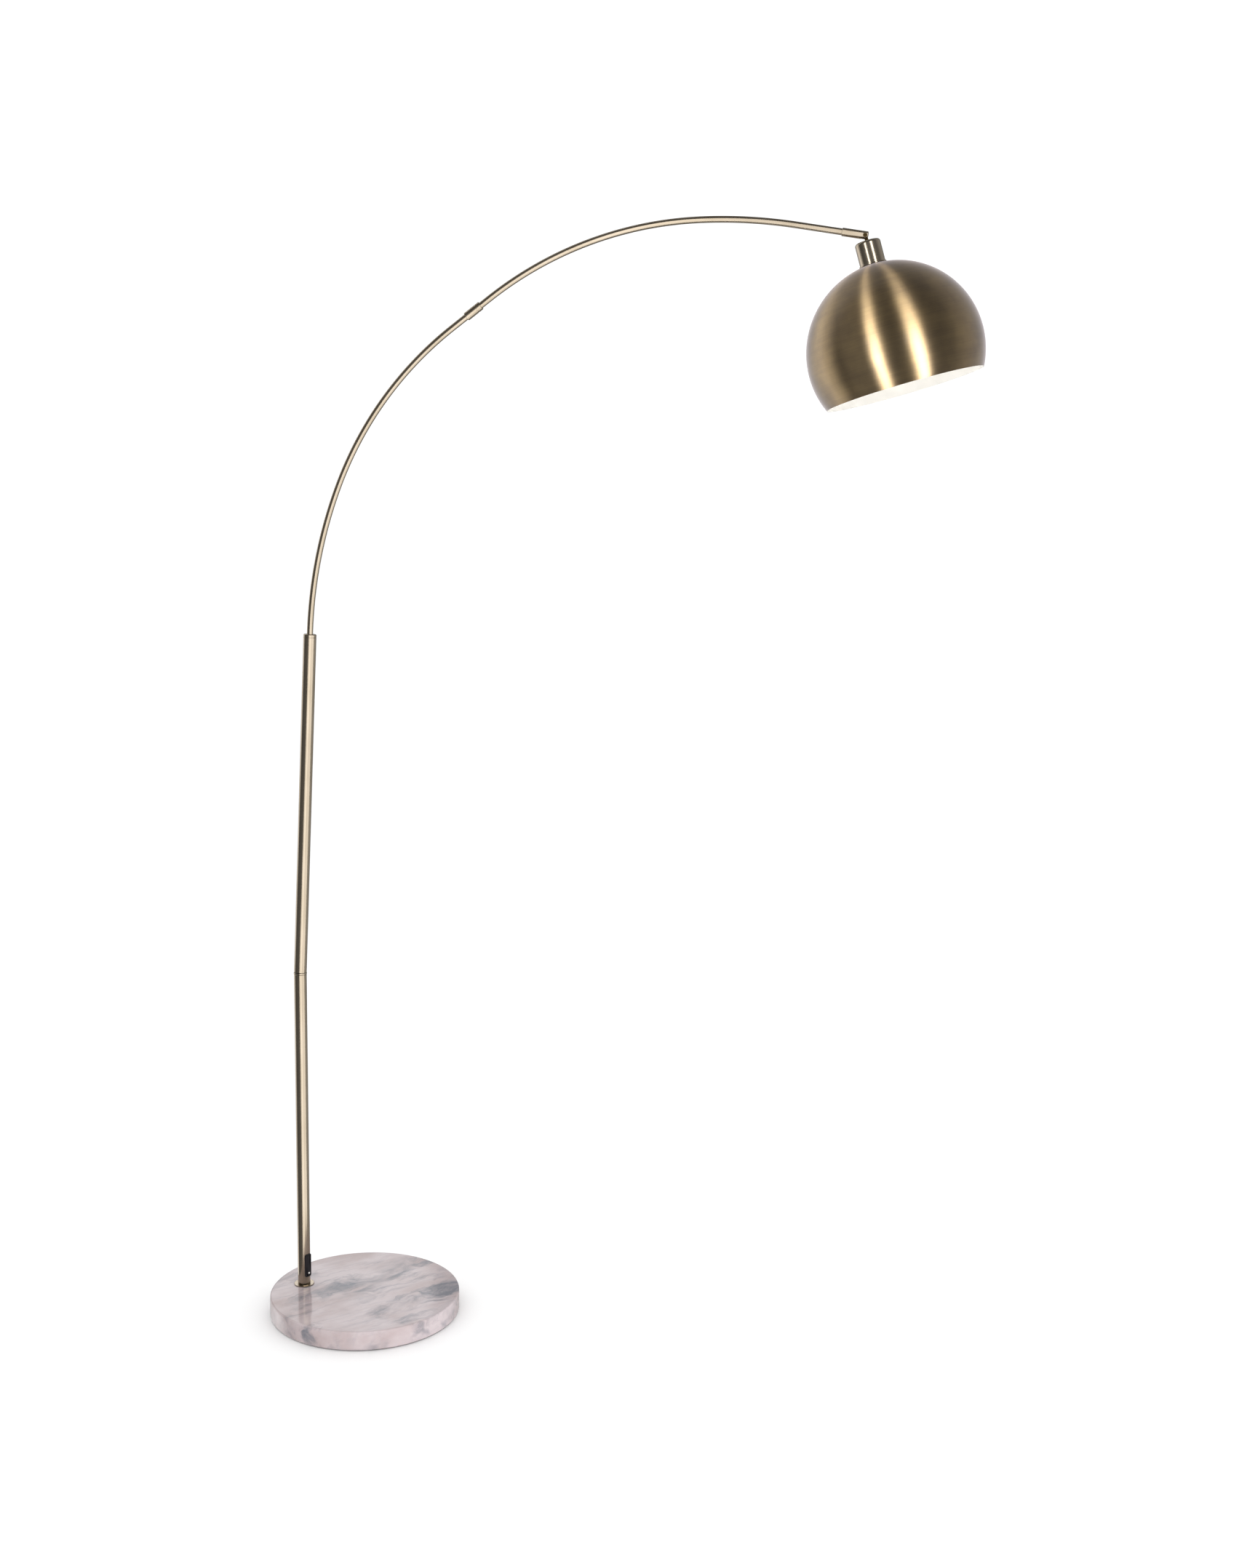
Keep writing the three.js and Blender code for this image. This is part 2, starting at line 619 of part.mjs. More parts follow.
function makeHolder() {
  const hole = thread.joinRadius + gap;
  const crownInside = shade.crown - shade.wall;
  const washerTop = crownInside - 1.3 - gap;
  const nutTop = washerTop - 1.5 - gap;
  const skirtTop = holderTop - 17.3;
  const skirtLow = skirtTop - 34;
  const clampTop = skirtTop - 6;
  return [
    piece("shade_washer", ring(hole, 14, washerTop - 1.5, washerTop), materials.steel),
    piece("shade_nut", cut(hexagon(14, nutTop - 3.4, nutTop), rod(hole, -80, 0, 20)), materials.steel),
    piece("holder_cap", turned([
      [hole, holderTop],
      [8, holderTop],
      [9, holderTop - 1.5],
      [15, holderTop - 4.5],
      [holderRadius, holderTop - 8],
      [holderRadius, holderTop - 17],
      [holderRadius - 1.6, holderTop - 17],
      [holderRadius - 1.6, holderTop - 8.4],
      [14, holderTop - 6],
      [hole, holderTop - 3],
    ]), materials.whitePlastic),
    piece("holder_block", turned([
      [2, holderTop - 10],
      [14.6, holderTop - 10],
      [14.6, holderTop - 19],
      [2, holderTop - 19],
    ]), materials.porcelain),
    piece("holder_contact", turned([
      [0, holderTop - 19.3],
      [3.4, holderTop - 19.3],
      [2.6, holderTop - 21],
      [0, holderTop - 21],
    ], 14), materials.rawBrass),
    piece("holder_liner", ring(13.7, 14.6, holderTop - 46, holderTop - 19.3), materials.rawBrass),
    piece("holder_skirt", turned([
      [15, skirtTop],
      [holderRadius, skirtTop],
      [holderRadius + 0.8, skirtTop - 1],
      [holderRadius + 0.8, skirtLow + 1],
      [holderRadius, skirtLow],
      [15, skirtLow],
    ]), materials.whitePlastic),
    piece("holder_clamp_ring", turned([
      [holderRadius + 1.1, clampTop],
      [23, clampTop],
      [23.6, clampTop - 0.8],
      [23.6, clampTop - 5],
      [22.8, clampTop - 6],
      [holderRadius + 1.1, clampTop - 6],
    ]), materials.whitePlastic),
  ];
}

// ---- bulb ----
function makeBulb() {
  const top = holderTop - 21.3;
  const capLow = top - 25;
  const wall = 0.8;
  const capOutline = [
    [0, top],
    [4.5, top],
    [5, top - 1.6],
    [11, top - 4],
    [13.2, top - 6],
    [13.2, capLow],
  ];
  const inner = capOutline.slice(1).map(([r, z]) => [Math.max(r - wall, 0), z - (z > capLow ? wall : 0)]);
  const cap = turned([...capOutline, ...inner.reverse(), [0, top - wall]]);
  // Outline of the glass: a neck that flares into a round globe.
  const globe = 30;
  const centre = capLow - 44;
  const glass = (offset) => [
    [12.4 - offset, capLow - gap],
    [12.6 - offset, capLow - 6],
    [16 - offset, capLow - 16],
    ...Array.from({ length: 9 }, (_, i) => {
      const a = (40 - i * 16.25) * degrees;
      return [(globe - offset) * Math.cos(a), centre + (globe - offset) * Math.sin(a)];
    }),
  ];
  const shell = [...glass(0).slice(0, -1), [0, centre - globe]];
  const inside = [...glass(1).slice(0, -1), [0, centre - globe + 1]];
  return [
    piece("bulb_cap", cap, materials.capMetal),
    piece("bulb_globe", turned([...shell.reverse(), ...inside]), materials.opalGlass),
  ];
}

// ---- assembly ----
const lamp = new THREE.Group();
const poleGroup = new THREE.Group();
poleGroup.position.x = poleX;
const upperPole = makeUpperPole();
upperPole.add(makeArm());
poleGroup.add(makeFootFixing(), makeLowerPole(), makeSwitch(), upperPole);
lamp.add(makeFoot(), makeLeads(), poleGroup);

export default lamp;
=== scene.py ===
import json
import math
import bmesh
import bpy
import numpy as np
from mathutils import Matrix, Vector


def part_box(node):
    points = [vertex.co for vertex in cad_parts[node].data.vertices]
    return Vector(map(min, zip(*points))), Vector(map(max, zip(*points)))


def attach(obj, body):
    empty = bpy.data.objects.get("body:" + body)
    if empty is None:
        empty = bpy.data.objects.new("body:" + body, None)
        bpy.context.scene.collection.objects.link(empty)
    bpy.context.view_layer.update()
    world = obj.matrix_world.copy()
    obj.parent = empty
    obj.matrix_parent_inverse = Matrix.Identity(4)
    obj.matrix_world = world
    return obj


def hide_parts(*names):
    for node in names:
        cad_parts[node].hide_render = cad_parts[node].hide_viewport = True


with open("model.json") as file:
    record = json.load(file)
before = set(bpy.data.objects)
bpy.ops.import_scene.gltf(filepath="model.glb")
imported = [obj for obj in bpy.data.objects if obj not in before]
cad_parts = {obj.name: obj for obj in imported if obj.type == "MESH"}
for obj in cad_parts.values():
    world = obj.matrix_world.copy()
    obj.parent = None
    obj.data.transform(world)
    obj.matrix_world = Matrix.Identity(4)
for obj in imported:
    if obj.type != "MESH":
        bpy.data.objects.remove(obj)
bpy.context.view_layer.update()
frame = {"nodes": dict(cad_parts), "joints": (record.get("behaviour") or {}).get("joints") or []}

mm = 0.001
scene = bpy.context.scene
joints = {joint["name"]: joint for joint in frame["joints"]}
print("frame loaded:", len(frame["nodes"]), "nodes")


# Camera: place in metres, angles in degrees. Yaw turns it left, pitch tips it down.
cameraSet = {"place": (0.9932, -2.7011, 1.3319), "yaw": 12.0, "pitch": 9.28, "roll": 0.92,
             "lens": 42.97, "sensor": 36.0}
cameraData = bpy.data.cameras.new("camera")
cameraData.lens, cameraData.sensor_width = cameraSet["lens"], cameraSet["sensor"]
cameraData.clip_end = 200
camera = bpy.data.objects.new("camera", cameraData)
scene.collection.objects.link(camera)
camera.matrix_world = (Matrix.Translation(cameraSet["place"])
                       @ Matrix.Rotation(math.radians(cameraSet["yaw"]), 4, "Z")
                       @ Matrix.Rotation(math.radians(90 - cameraSet["pitch"]), 4, "X")
                       @ Matrix.Rotation(math.radians(cameraSet["roll"]), 4, "Z"))
scene.camera = camera
print("camera placed")


# Colour from an sRGB hex value to linear light.
def linear(hexColour):
    channels = np.array([int(hexColour[i:i + 2], 16) / 255 for i in (1, 3, 5)])
    low = channels / 12.92
    high = ((channels + 0.055) / 1.055) ** 2.4
    return (*np.where(channels <= 0.04045, low, high).tolist(), 1.0)


# Adds a node: settings are its own properties, inputs are sockets' values or what feeds them, by
# name or in order. Ramp stops are (position, colour), a colour being a hex value or a grey level.
def addNode(tree, kind, settings=None, inputs=None, stops=None):
    node = tree.nodes.new("ShaderNode" + kind)
    for key, value in (settings or {}).items():
        setattr(node, key, value)
    for key, value in inputs.items() if isinstance(inputs, dict) else enumerate(inputs or ()):
        if isinstance(value, bpy.types.NodeSocket):
            tree.links.new(value, node.inputs[key])
        elif isinstance(value, str):
            node.inputs[key].default_value = linear(value)
        else:
            node.inputs[key].default_value = value
    if stops:
        ramp = node.color_ramp
        while len(ramp.elements) < len(stops):
            ramp.elements.new(0.5)
        for element, (position, colour) in zip(ramp.elements, stops):
            element.position = position
            element.color = linear(colour) if isinstance(colour, str) else (*[colour] * 3, 1)
    return node


# A new node material: build(tree, shader) wires the pattern, plain holds same-all-over values.
def newMaterial(name, plain, build=None):
    material = bpy.data.materials.new(name)
    material.use_nodes = True
    tree = material.node_tree
    tree.nodes.clear()
    shader = addNode(tree, "BsdfPrincipled", inputs=plain)
    addNode(tree, "OutputMaterial", inputs={"Surface": shader.outputs[0]})
    if build:
        build(tree, shader)
    return material


# Studio: walls that only the polished surfaces see, and plain white for everything else.
# Wall brightness by compass angle in degrees: 0 is in front of the lamp, 90 is to its right.
studioSet = {
    "white": 1.12,
    "walls": [(-180, 0.36), (-146, 0.50), (-124, 0.95), (-108, 1.60), (-93, 0.90), (-79, 0.10),
              (-60, 0.12), (-36, 0.14), (-8, 0.15), (20, 0.16), (62, 0.18), (84, 0.22),
              (104, 0.46), (122, 0.54), (150, 0.38), (180, 0.34)],
    "heights": [(-1.0, 0.68), (-0.45, 1.08), (0.0, 1.0), (0.45, 0.90), (1.0, 0.50)],
}
world = bpy.data.worlds.new("studio")
world.use_nodes = True
scene.world = world
tree = world.node_tree
tree.nodes.clear()
way = addNode(tree, "SeparateXYZ", inputs=[addNode(tree, "TexCoord").outputs["Generated"]])
front = addNode(tree, "Math", {"operation": "MULTIPLY"}, [way.outputs["Y"], -1.0])
compass = addNode(tree, "Math", {"operation": "ARCTAN2"}, [way.outputs["X"], front.outputs[0]])
turn = addNode(tree, "Math", {"operation": "MULTIPLY_ADD"},
               [compass.outputs[0], 0.5 / math.pi, 0.5])
walls = addNode(tree, "ValToRGB", inputs=[turn.outputs[0]],
                stops=[((angle + 180) / 360, level) for angle, level in studioSet["walls"]])
climb = addNode(tree, "Math", {"operation": "MULTIPLY_ADD"}, [way.outputs["Z"], 0.5, 0.5])
heights = addNode(tree, "ValToRGB", inputs=[climb.outputs[0]],
                  stops=[((height + 1) / 2, level) for height, level in studioSet["heights"]])
room = addNode(tree, "Mix", {"data_type": "RGBA", "blend_type": "MULTIPLY"},
               {"Factor": 1.0, 6: walls.outputs[0], 7: heights.outputs[0]})
seen = addNode(tree, "Background", inputs={"Color": room.outputs[2], "Strength": 1.0})
plain = addNode(tree, "Background", inputs={"Color": "#ffffff", "Strength": studioSet["white"]})
path = addNode(tree, "LightPath")
choice = addNode(tree, "MixShader",
                 inputs=[path.outputs["Is Glossy Ray"], plain.outputs[0], seen.outputs[0]])
addNode(tree, "OutputWorld", inputs={"Surface": choice.outputs[0]})
scene.view_settings.view_transform = "Standard"

# Soft lamps: place, what each faces, which way its height runs, width and height in metres,
# brightness, whether metal sees it or only matt surfaces, and which set of pieces it lights.
# The strips stand parallel to the shade's leaning axis.
upright, shadeUp = (0.0, 0.0, 1.0), (-0.279, 0.0, 0.960)
lampSet = {
    "leftStrip": {"place": (0.428, -1.6, 0.678), "faces": (0.996, 0.0, 0.843), "up": shadeUp,
                  "size": (0.37, 2.6), "glow": 13.0, "metal": True, "lights": "head"},
    "rightStrip": {"place": (1.772, -0.863, 0.729), "faces": (1.093, 0.0, 0.507),
                   "up": (-0.448, -0.113, 0.911),
                   "size": (0.31, 2.6), "glow": 13.0, "metal": True, "lights": "head"},
    "leftPanel": {"place": (-0.436, -1.03, 1.0), "faces": (0.92, 0.0, 1.1), "up": shadeUp,
                  "size": (0.8, 3.0), "glow": 0.22, "metal": True, "lights": "head"},
    "cupLeft": {"place": (0.372, -1.6, 0.870), "faces": (0.940, 0.0, 1.035), "up": shadeUp,
                "size": (0.26, 3.4), "glow": 6.5, "metal": True, "lights": "cup"},
    "cupRight": {"place": (1.641, -0.937, 0.921), "faces": (1.023, 0.0, 0.747), "up": shadeUp,
                 "size": (0.22, 3.4), "glow": 6.5, "metal": True, "lights": "cup"},
    "polePanel": {"place": (0.52, -0.52, 0.65), "faces": (-0.10, 0.0, 0.65), "up": upright,
                  "size": (1.65, 2.8), "glow": 1.65, "metal": True, "lights": "stand"},
    "poleStrip": {"place": (0.30, -0.69, 0.65), "faces": (-0.10, 0.0, 0.65), "up": upright,
                  "size": (0.26, 2.8), "glow": 0.7, "metal": True, "lights": "stand"},
    "backPanel": {"place": (-1.12, 2.50, 1.25), "faces": (-0.10, 0.0, 0.03), "up": upright,
                  "size": (0.8, 0.4), "glow": 1.6, "metal": True, "lights": "collar"},
    "footPanel": {"place": (-1.12, 2.50, 1.25), "faces": (-0.10, 0.0, 0.03), "up": upright,
                  "size": (0.8, 0.4), "glow": 1.0, "metal": True, "lights": "foot"},
    "keyPanel": {"place": (2.2, -2.0, 0.45), "faces": (0.0, 0.0, 0.1), "up": upright,
                 "size": (1.6, 1.6), "glow": 7.0, "metal": False, "lights": "foot"},
}
lit = {part: bpy.data.collections.new(part + "Lit")
       for part in ("head", "cup", "stand", "collar", "foot")}
for name, lamp in lampSet.items():
    data = bpy.data.lights.new(name, "AREA")
    data.shape = "RECTANGLE"
    data.size, data.size_y = lamp["size"]
    data.energy = lamp["glow"] * math.pi * data.size * data.size_y
    light = bpy.data.objects.new(name, data)
    scene.collection.objects.link(light)
    aim = (Vector(lamp["faces"]) - Vector(lamp["place"])).normalized()
    side = aim.cross(Vector(lamp["up"])).normalized()
    turning = Matrix((side, side.cross(aim), -aim)).transposed()
    light.matrix_world = Matrix.Translation(lamp["place"]) @ turning.to_4x4()
    light.visible_camera = False
    light.visible_glossy = lamp["metal"]
    light.visible_diffuse = not lamp["metal"]
    light.light_linking.receiver_collection = lit[lamp["lights"]]
print("studio lit")


# Outline with rounded corners: a point is (r, z) or (r, z, radius), and an arc of that radius
# touches both sides of its corner. Long straight runs get a point close to each end.
def rounded(outline, closed=True, steps=6):
    corners = [(*point, 0)[:3] for point in outline]
    points = []
    for i, (r, z, radius) in enumerate(corners):
        here = np.array([r, z], float)
        if not radius or (not closed and i in (0, len(corners) - 1)):
            points.append(here[None])
            continue
        before = np.array(corners[i - 1][:2])
        after = np.array(corners[(i + 1) % len(corners)][:2])
        inward, outward = before - here, after - here
        inward, outward = inward / np.linalg.norm(inward), outward / np.linalg.norm(outward)
        half = math.acos(np.clip(inward @ outward, -1, 1)) / 2
        reach = radius / math.tan(half)
        bisector = (inward + outward) / np.linalg.norm(inward + outward)
        middle = here + bisector * radius / math.sin(half)
        first, last = here + inward * reach - middle, here + outward * reach - middle
        share = np.linspace(0, 1, steps + 1)[:, None]
        sweep = math.pi - 2 * half
        arc = np.sin((1 - share) * sweep) * first + np.sin(share * sweep) * last
        points.append(middle + arc / math.sin(sweep))
    points = np.vstack(points)
    if closed:
        points = np.vstack([points, points[:1]])
    guard = 0.35  # mm from a run's end to the point that holds its shading
    held = [points[:1]]
    for start, end in zip(points[:-1], points[1:]):
        length = np.linalg.norm(end - start)
        if length > 6 * guard:
            nudge = (end - start) * guard / length
            held.append(np.array([start + nudge, end - nudge]))
        held.append(end[None])
    return np.vstack(held)


# Skin over a grid of points: rows run along the piece and columns around it, with the first
# column repeated at the end. Doubles are merged, so seams and poles close, and faces look outwards.
def skin(name, grid, along, sharpAngle=32):
    rows, columns = grid.shape[:2]
    index = np.arange(rows * columns).reshape(rows, columns)
    quads = np.stack([index[:-1, :-1], index[:-1, 1:], index[1:, 1:], index[1:, :-1]], -1)
    quads = quads.reshape(-1, 4)
    flat = grid.reshape(-1, 3)
    a, b, c, d = (flat[quads[:, k]] for k in range(4))
    volume = ((a * np.cross(b, c)).sum(1) + (a * np.cross(c, d)).sum(1)).sum()
    if volume < 0:
        quads = quads[:, ::-1]
    mesh = bpy.data.meshes.new(name)
    mesh.from_pydata(flat.tolist(), [], quads.tolist())
    around = np.tile(np.linspace(0, 1, columns), rows)
    placed = np.stack([np.repeat(along, columns), around], -1)
    layer = mesh.uv_layers.new(name="turning")
    layer.data.foreach_set("uv", placed[quads.reshape(-1)].astype(np.float32).reshape(-1))
    work = bmesh.new()
    work.from_mesh(mesh)
    bmesh.ops.remove_doubles(work, verts=work.verts, dist=2e-7)
    work.to_mesh(mesh)
    work.free()
    return finishMesh(name, mesh, sharpAngle)


# Smooth shading with creases kept where two faces meet at more than an angle.
def finishMesh(name, mesh, sharpAngle=32):
    mesh.polygons.foreach_set("use_smooth", np.ones(len(mesh.polygons), bool))
    mesh.set_sharp_from_angle(angle=math.radians(sharpAngle))
    mesh.update()
    piece = bpy.data.objects.new(name, mesh)
    scene.collection.objects.link(piece)
    return piece


# An outline of (r, z) in mm carried once round the Z axis of its place: x = r cos a, y = r sin a.
def turned(name, outline, place, sides=96):
    outline = np.asarray(outline, float) * mm
    angle = np.linspace(0, 2 * math.pi, sides + 1)
    r, z = outline[:, :1], outline[:, 1:]
    grid = np.stack([r * np.cos(angle), r * np.sin(angle), z + 0 * angle], -1)
    along = np.concatenate([[0], np.cumsum(np.linalg.norm(np.diff(outline, axis=0), axis=1))])
    return skin(name, moved(grid, place), along)


# Rings lofted in a row: each ring is (count, 3) points in mm in the piece's own place.
def lofted(name, rings, place, sharpAngle=40):
    grid = np.stack(rings) * mm
    steps = np.linalg.norm(np.diff(grid, axis=0), axis=2).mean(1)
    return skin(name, moved(grid, place), np.concatenate([[0], np.cumsum(steps)]), sharpAngle)


# Points of a grid taken through a 4 x 4 placing.
def moved(grid, place):
    matrix = np.array(place)
    return grid @ matrix[:3, :3].T + matrix[:3, 3]


# A plain box to cut with: lowest and highest corner in mm.
def cutterBlock(low, high, place):
    low, high = np.array(low, float) * mm, np.array(high, float) * mm
    bits = np.array([[i >> 2 & 1, i >> 1 & 1, i & 1] for i in range(8)])
    corners = moved(low + bits * (high - low), place)
    faces = [(0, 1, 3, 2), (4, 6, 7, 5), (0, 4, 5, 1), (2, 3, 7, 6), (0, 2, 6, 4), (1, 5, 7, 3)]
    mesh = bpy.data.meshes.new("cutter")
    mesh.from_pydata(corners.tolist(), [], faces)
    mesh.uv_layers.new(name="turning")
    cutter = bpy.data.objects.new("cutter", mesh)
    scene.collection.objects.link(cutter)
    return cutter


# A rod to cut or join with, from one height to another on the Z axis of its place.
def cutterRod(radius, low, high, place, sides=32):
    return turned("cutter", [(0, low), (radius, low), (radius, high), (0, high)], place, sides)


# Cuts the tools out of a piece, or joins them to it, and keeps the result as its mesh.
def worked(piece, tools, operation="DIFFERENCE", sharpAngle=32):
    for tool in tools:
        step = piece.modifiers.new("work", "BOOLEAN")
        step.operation, step.object, step.solver = operation, tool, "EXACT"
    graph = bpy.context.evaluated_depsgraph_get()
    result = bpy.data.meshes.new_from_object(piece.evaluated_get(graph))
    name, old = piece.name, piece.data
    bpy.data.objects.remove(piece)
    bpy.data.meshes.remove(old)
    for tool in tools:
        bpy.data.objects.remove(tool)
    return finishMesh(name, result, sharpAngle)


# Gives a new piece its finishes and its body, and hides the CAD nodes that it stands for.
def dress(piece, body, nodes, slot, *finishes):
    for finish in finishes:
        piece.data.materials.append(finish)
    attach(piece, body)
    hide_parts(*nodes)
    return piece


# Cloudy pattern that wraps a turned piece: distance along it divided by a size in mm, and its
# angle laid on a circle of a radius in pattern units, so that it meets itself at the seam.
def turnedPattern(tree, size, turns, detail=3.0, rough=0.5):
    uv = addNode(tree, "SeparateXYZ",
                 inputs=[addNode(tree, "UVMap", {"uv_map": "turning"}).outputs[0]])
    along = addNode(tree, "Math", {"operation": "MULTIPLY"}, [uv.outputs["X"], 1000 / size])
    angle = addNode(tree, "Math", {"operation": "MULTIPLY"}, [uv.outputs["Y"], 2 * math.pi])
    place = [along.outputs[0]]
    for operation in ("COSINE", "SINE"):
        wave = addNode(tree, "Math", {"operation": operation}, [angle.outputs[0]])
        place.append(addNode(tree, "Math", {"operation": "MULTIPLY"},
                             [wave.outputs[0], turns]).outputs[0])
    return addNode(tree, "TexNoise", inputs={
        "Vector": addNode(tree, "CombineXYZ", inputs=place).outputs[0],
        "Scale": 1.0, "Detail": detail, "Roughness": rough}).outputs[0]


# Cloudy pattern on object coordinates in mm: turned about Z, divided by a size for each axis,
# moved by a shift, and pulled about by warp, which is another pattern and how far it pulls.
def cloudPattern(tree, sizes, angle=0.0, shift=(0, 0, 0), detail=3.0, rough=0.5, distortion=0.0,
                 warp=None):
    place = addNode(tree, "TexCoord").outputs["Object"]
    turning = addNode(tree, "Mapping", inputs={"Vector": place,
                                               "Rotation": (0, 0, math.radians(angle))})
    place = addNode(tree, "Mapping", inputs={
        "Vector": turning.outputs[0], "Location": shift,
        "Scale": tuple(1000 / size for size in sizes)}).outputs[0]
    if warp:
        pattern, pull = warp
        same = addNode(tree, "CombineXYZ", inputs=[pattern] * 3)
        place = addNode(tree, "VectorMath", {"operation": "MULTIPLY_ADD"},
                        [same.outputs[0], pull, place]).outputs[0]
    return addNode(tree, "TexNoise", inputs={
        "Vector": place, "Scale": 1.0, "Detail": detail, "Roughness": rough,
        "Distortion": distortion}).outputs[0]


# Wires a finish to its shader: its colour, its roughness from low to high as a pattern goes from
# one value to another, and, where there is a height, a bump of a strength and a depth in metres.
def wire(tree, shader, colour, pattern, span, roughness, height=None, bump=0.0, depth=0.0002):
    tree.links.new(colour, shader.inputs["Base Color"])
    matt = addNode(tree, "MapRange", inputs=[pattern, *span, *roughness])
    tree.links.new(matt.outputs[0], shader.inputs["Roughness"])
    if height:
        relief = addNode(tree, "Bump", inputs={"Height": height, "Strength": bump,
                                               "Distance": depth})
        tree.links.new(relief.outputs[0], shader.inputs["Normal"])


# Antique brass, spun, then brushed round its axis and lacquered: long streaks of light run
# across the brushing, the tone is olive brown, and the lacquer shows pale at the edges. Sizes
# are in mm. Real brushing lines are about 0.1 apart, and are drawn coarser so that they show.
brushedSet = {"dark": "#86735a", "light": "#ab936c", "lineSpacing": 0.9, "lineTurns": 2.5,
              "bandWidth": 7.0, "bandTurns": 1.2, "patch": 38.0, "lineShare": 0.45,
              "bandShare": 0.3, "patchShare": 0.4, "roughness": (0.36, 0.42), "bump": 0.02}


# Tone is the lines, bands and patches added up in their shares; the lines also make the bump.
def buildBrushedBrass(tree, shader):
    lines = turnedPattern(tree, brushedSet["lineSpacing"], brushedSet["lineTurns"], rough=0.6)
    bands = turnedPattern(tree, brushedSet["bandWidth"], brushedSet["bandTurns"], detail=2)
    patches = cloudPattern(tree, (brushedSet["patch"],) * 3)
    tone = addNode(tree, "MapRange", inputs=[patches, 0.3, 0.7, 0.0, brushedSet["patchShare"]])
    for pattern, share in ((lines, brushedSet["lineShare"]), (bands, brushedSet["bandShare"])):
        tone = addNode(tree, "Math", {"operation": "MULTIPLY_ADD"},
                       [pattern, share, tone.outputs[0]])
    colour = addNode(tree, "ValToRGB", inputs=[tone.outputs[0]],
                     stops=[(0.25, brushedSet["dark"]), (0.85, brushedSet["light"])])
    wire(tree, shader, colour.outputs[0], lines, (0.25, 0.75), brushedSet["roughness"],
         lines, brushedSet["bump"])
    grain = addNode(tree, "Tangent", {"direction_type": "UV_MAP", "uv_map": "turning"})
    tree.links.new(grain.outputs[0], shader.inputs["Tangent"])


brushedBrass = newMaterial("brushedAntiqueBrass", {
    "Metallic": 1.0, "Anisotropic": 1.0, "Coat Weight": 0.25, "Coat Roughness": 0.22,
    "Coat IOR": 1.5, "Sheen Weight": 1.0, "Sheen Roughness": 0.30,
    "Sheen Tint": linear("#e6dde2")}, buildBrushedBrass)

# Brass-plated steel tube, polished along its length and lacquered: sharp light and dark stripes.
tubeSet = {"dark": "#a19480", "light": "#b0a391", "streak": 40.0, "streakTurns": 4.0,
           "cloud": (45, 45, 90), "streakShare": 0.5, "cloudShare": 0.5,
           "roughness": (0.200, 0.215), "bump": 0.01, "bumpDepth": 0.0001}


# Tone is the streaks and clouds added up in their shares; the streaks also make the bump.
def buildTubeBrass(tree, shader):
    streaks = turnedPattern(tree, tubeSet["streak"], tubeSet["streakTurns"])
    clouds = cloudPattern(tree, tubeSet["cloud"], detail=2)
    base = addNode(tree, "MapRange", inputs=[clouds, 0.3, 0.7, 0.0, tubeSet["cloudShare"]])
    tone = addNode(tree, "Math", {"operation": "MULTIPLY_ADD"},
                   [streaks, tubeSet["streakShare"], base.outputs[0]])
    colour = addNode(tree, "ValToRGB", inputs=[tone.outputs[0]],
                     stops=[(0.2, tubeSet["dark"]), (0.8, tubeSet["light"])])
    wire(tree, shader, colour.outputs[0], streaks, (0.3, 0.7), tubeSet["roughness"],
         streaks, tubeSet["bump"], tubeSet["bumpDepth"])


tubeBrass = newMaterial("platedTubeBrass", {
    "Metallic": 1.0, "Coat Weight": 0.2, "Coat Roughness": 0.06, "Coat IOR": 1.5}, buildTubeBrass)

# Turned brass for small fittings, left on CAD pieces too, so it reads object coordinates only.
fittingSet = {"dark": "#94784c", "light": "#b39868", "patch": 6.0, "roughness": (0.24, 0.36)}


# Tone and roughness both follow the patches.
def buildFittingBrass(tree, shader):
    patches = cloudPattern(tree, (fittingSet["patch"],) * 3)
    colour = addNode(tree, "ValToRGB", inputs=[patches],
                     stops=[(0.35, fittingSet["dark"]), (0.65, fittingSet["light"])])
    wire(tree, shader, colour.outputs[0], patches, (0.3, 0.7), fittingSet["roughness"])


fittingBrass = newMaterial("turnedFittingBrass", {"Metallic": 1.0}, buildFittingBrass)

# Marble, sawn, ground and polished: white stone clouded with mauve, crossed by soft grey veins
# that run one way and gather in smudges; the polish gives clear, faint reflections. Sizes are in
# mm along the veins, across them and upwards; a shift picks the part of a pattern that shows.
marbleSet = {"white": "#b5aaac", "mauve": "#a19291", "grey": "#8a888d", "deep": "#6e6f76",
             "angle": -50.0, "vein": (95.0, 30.0, 40), "veinShift": (3.1, 1.7, 0.4),
             "warp": (60, 60, 60), "warpPull": (1.1, 2.2, 0.6),
             "smudge": (95, 62, 60), "smudgeShift": (0.7, 4.2, 0.0),
             "wisp": (120, 9, 30), "wispTurn": 6, "wispShift": (8.0, 2.0, 0.0), "wispShare": 0.45,
             "cloud": (96.0, 60.0, 60), "cloudShift": (5.0, 0.0, 2.0), "roughness": (0.07, 0.13)}


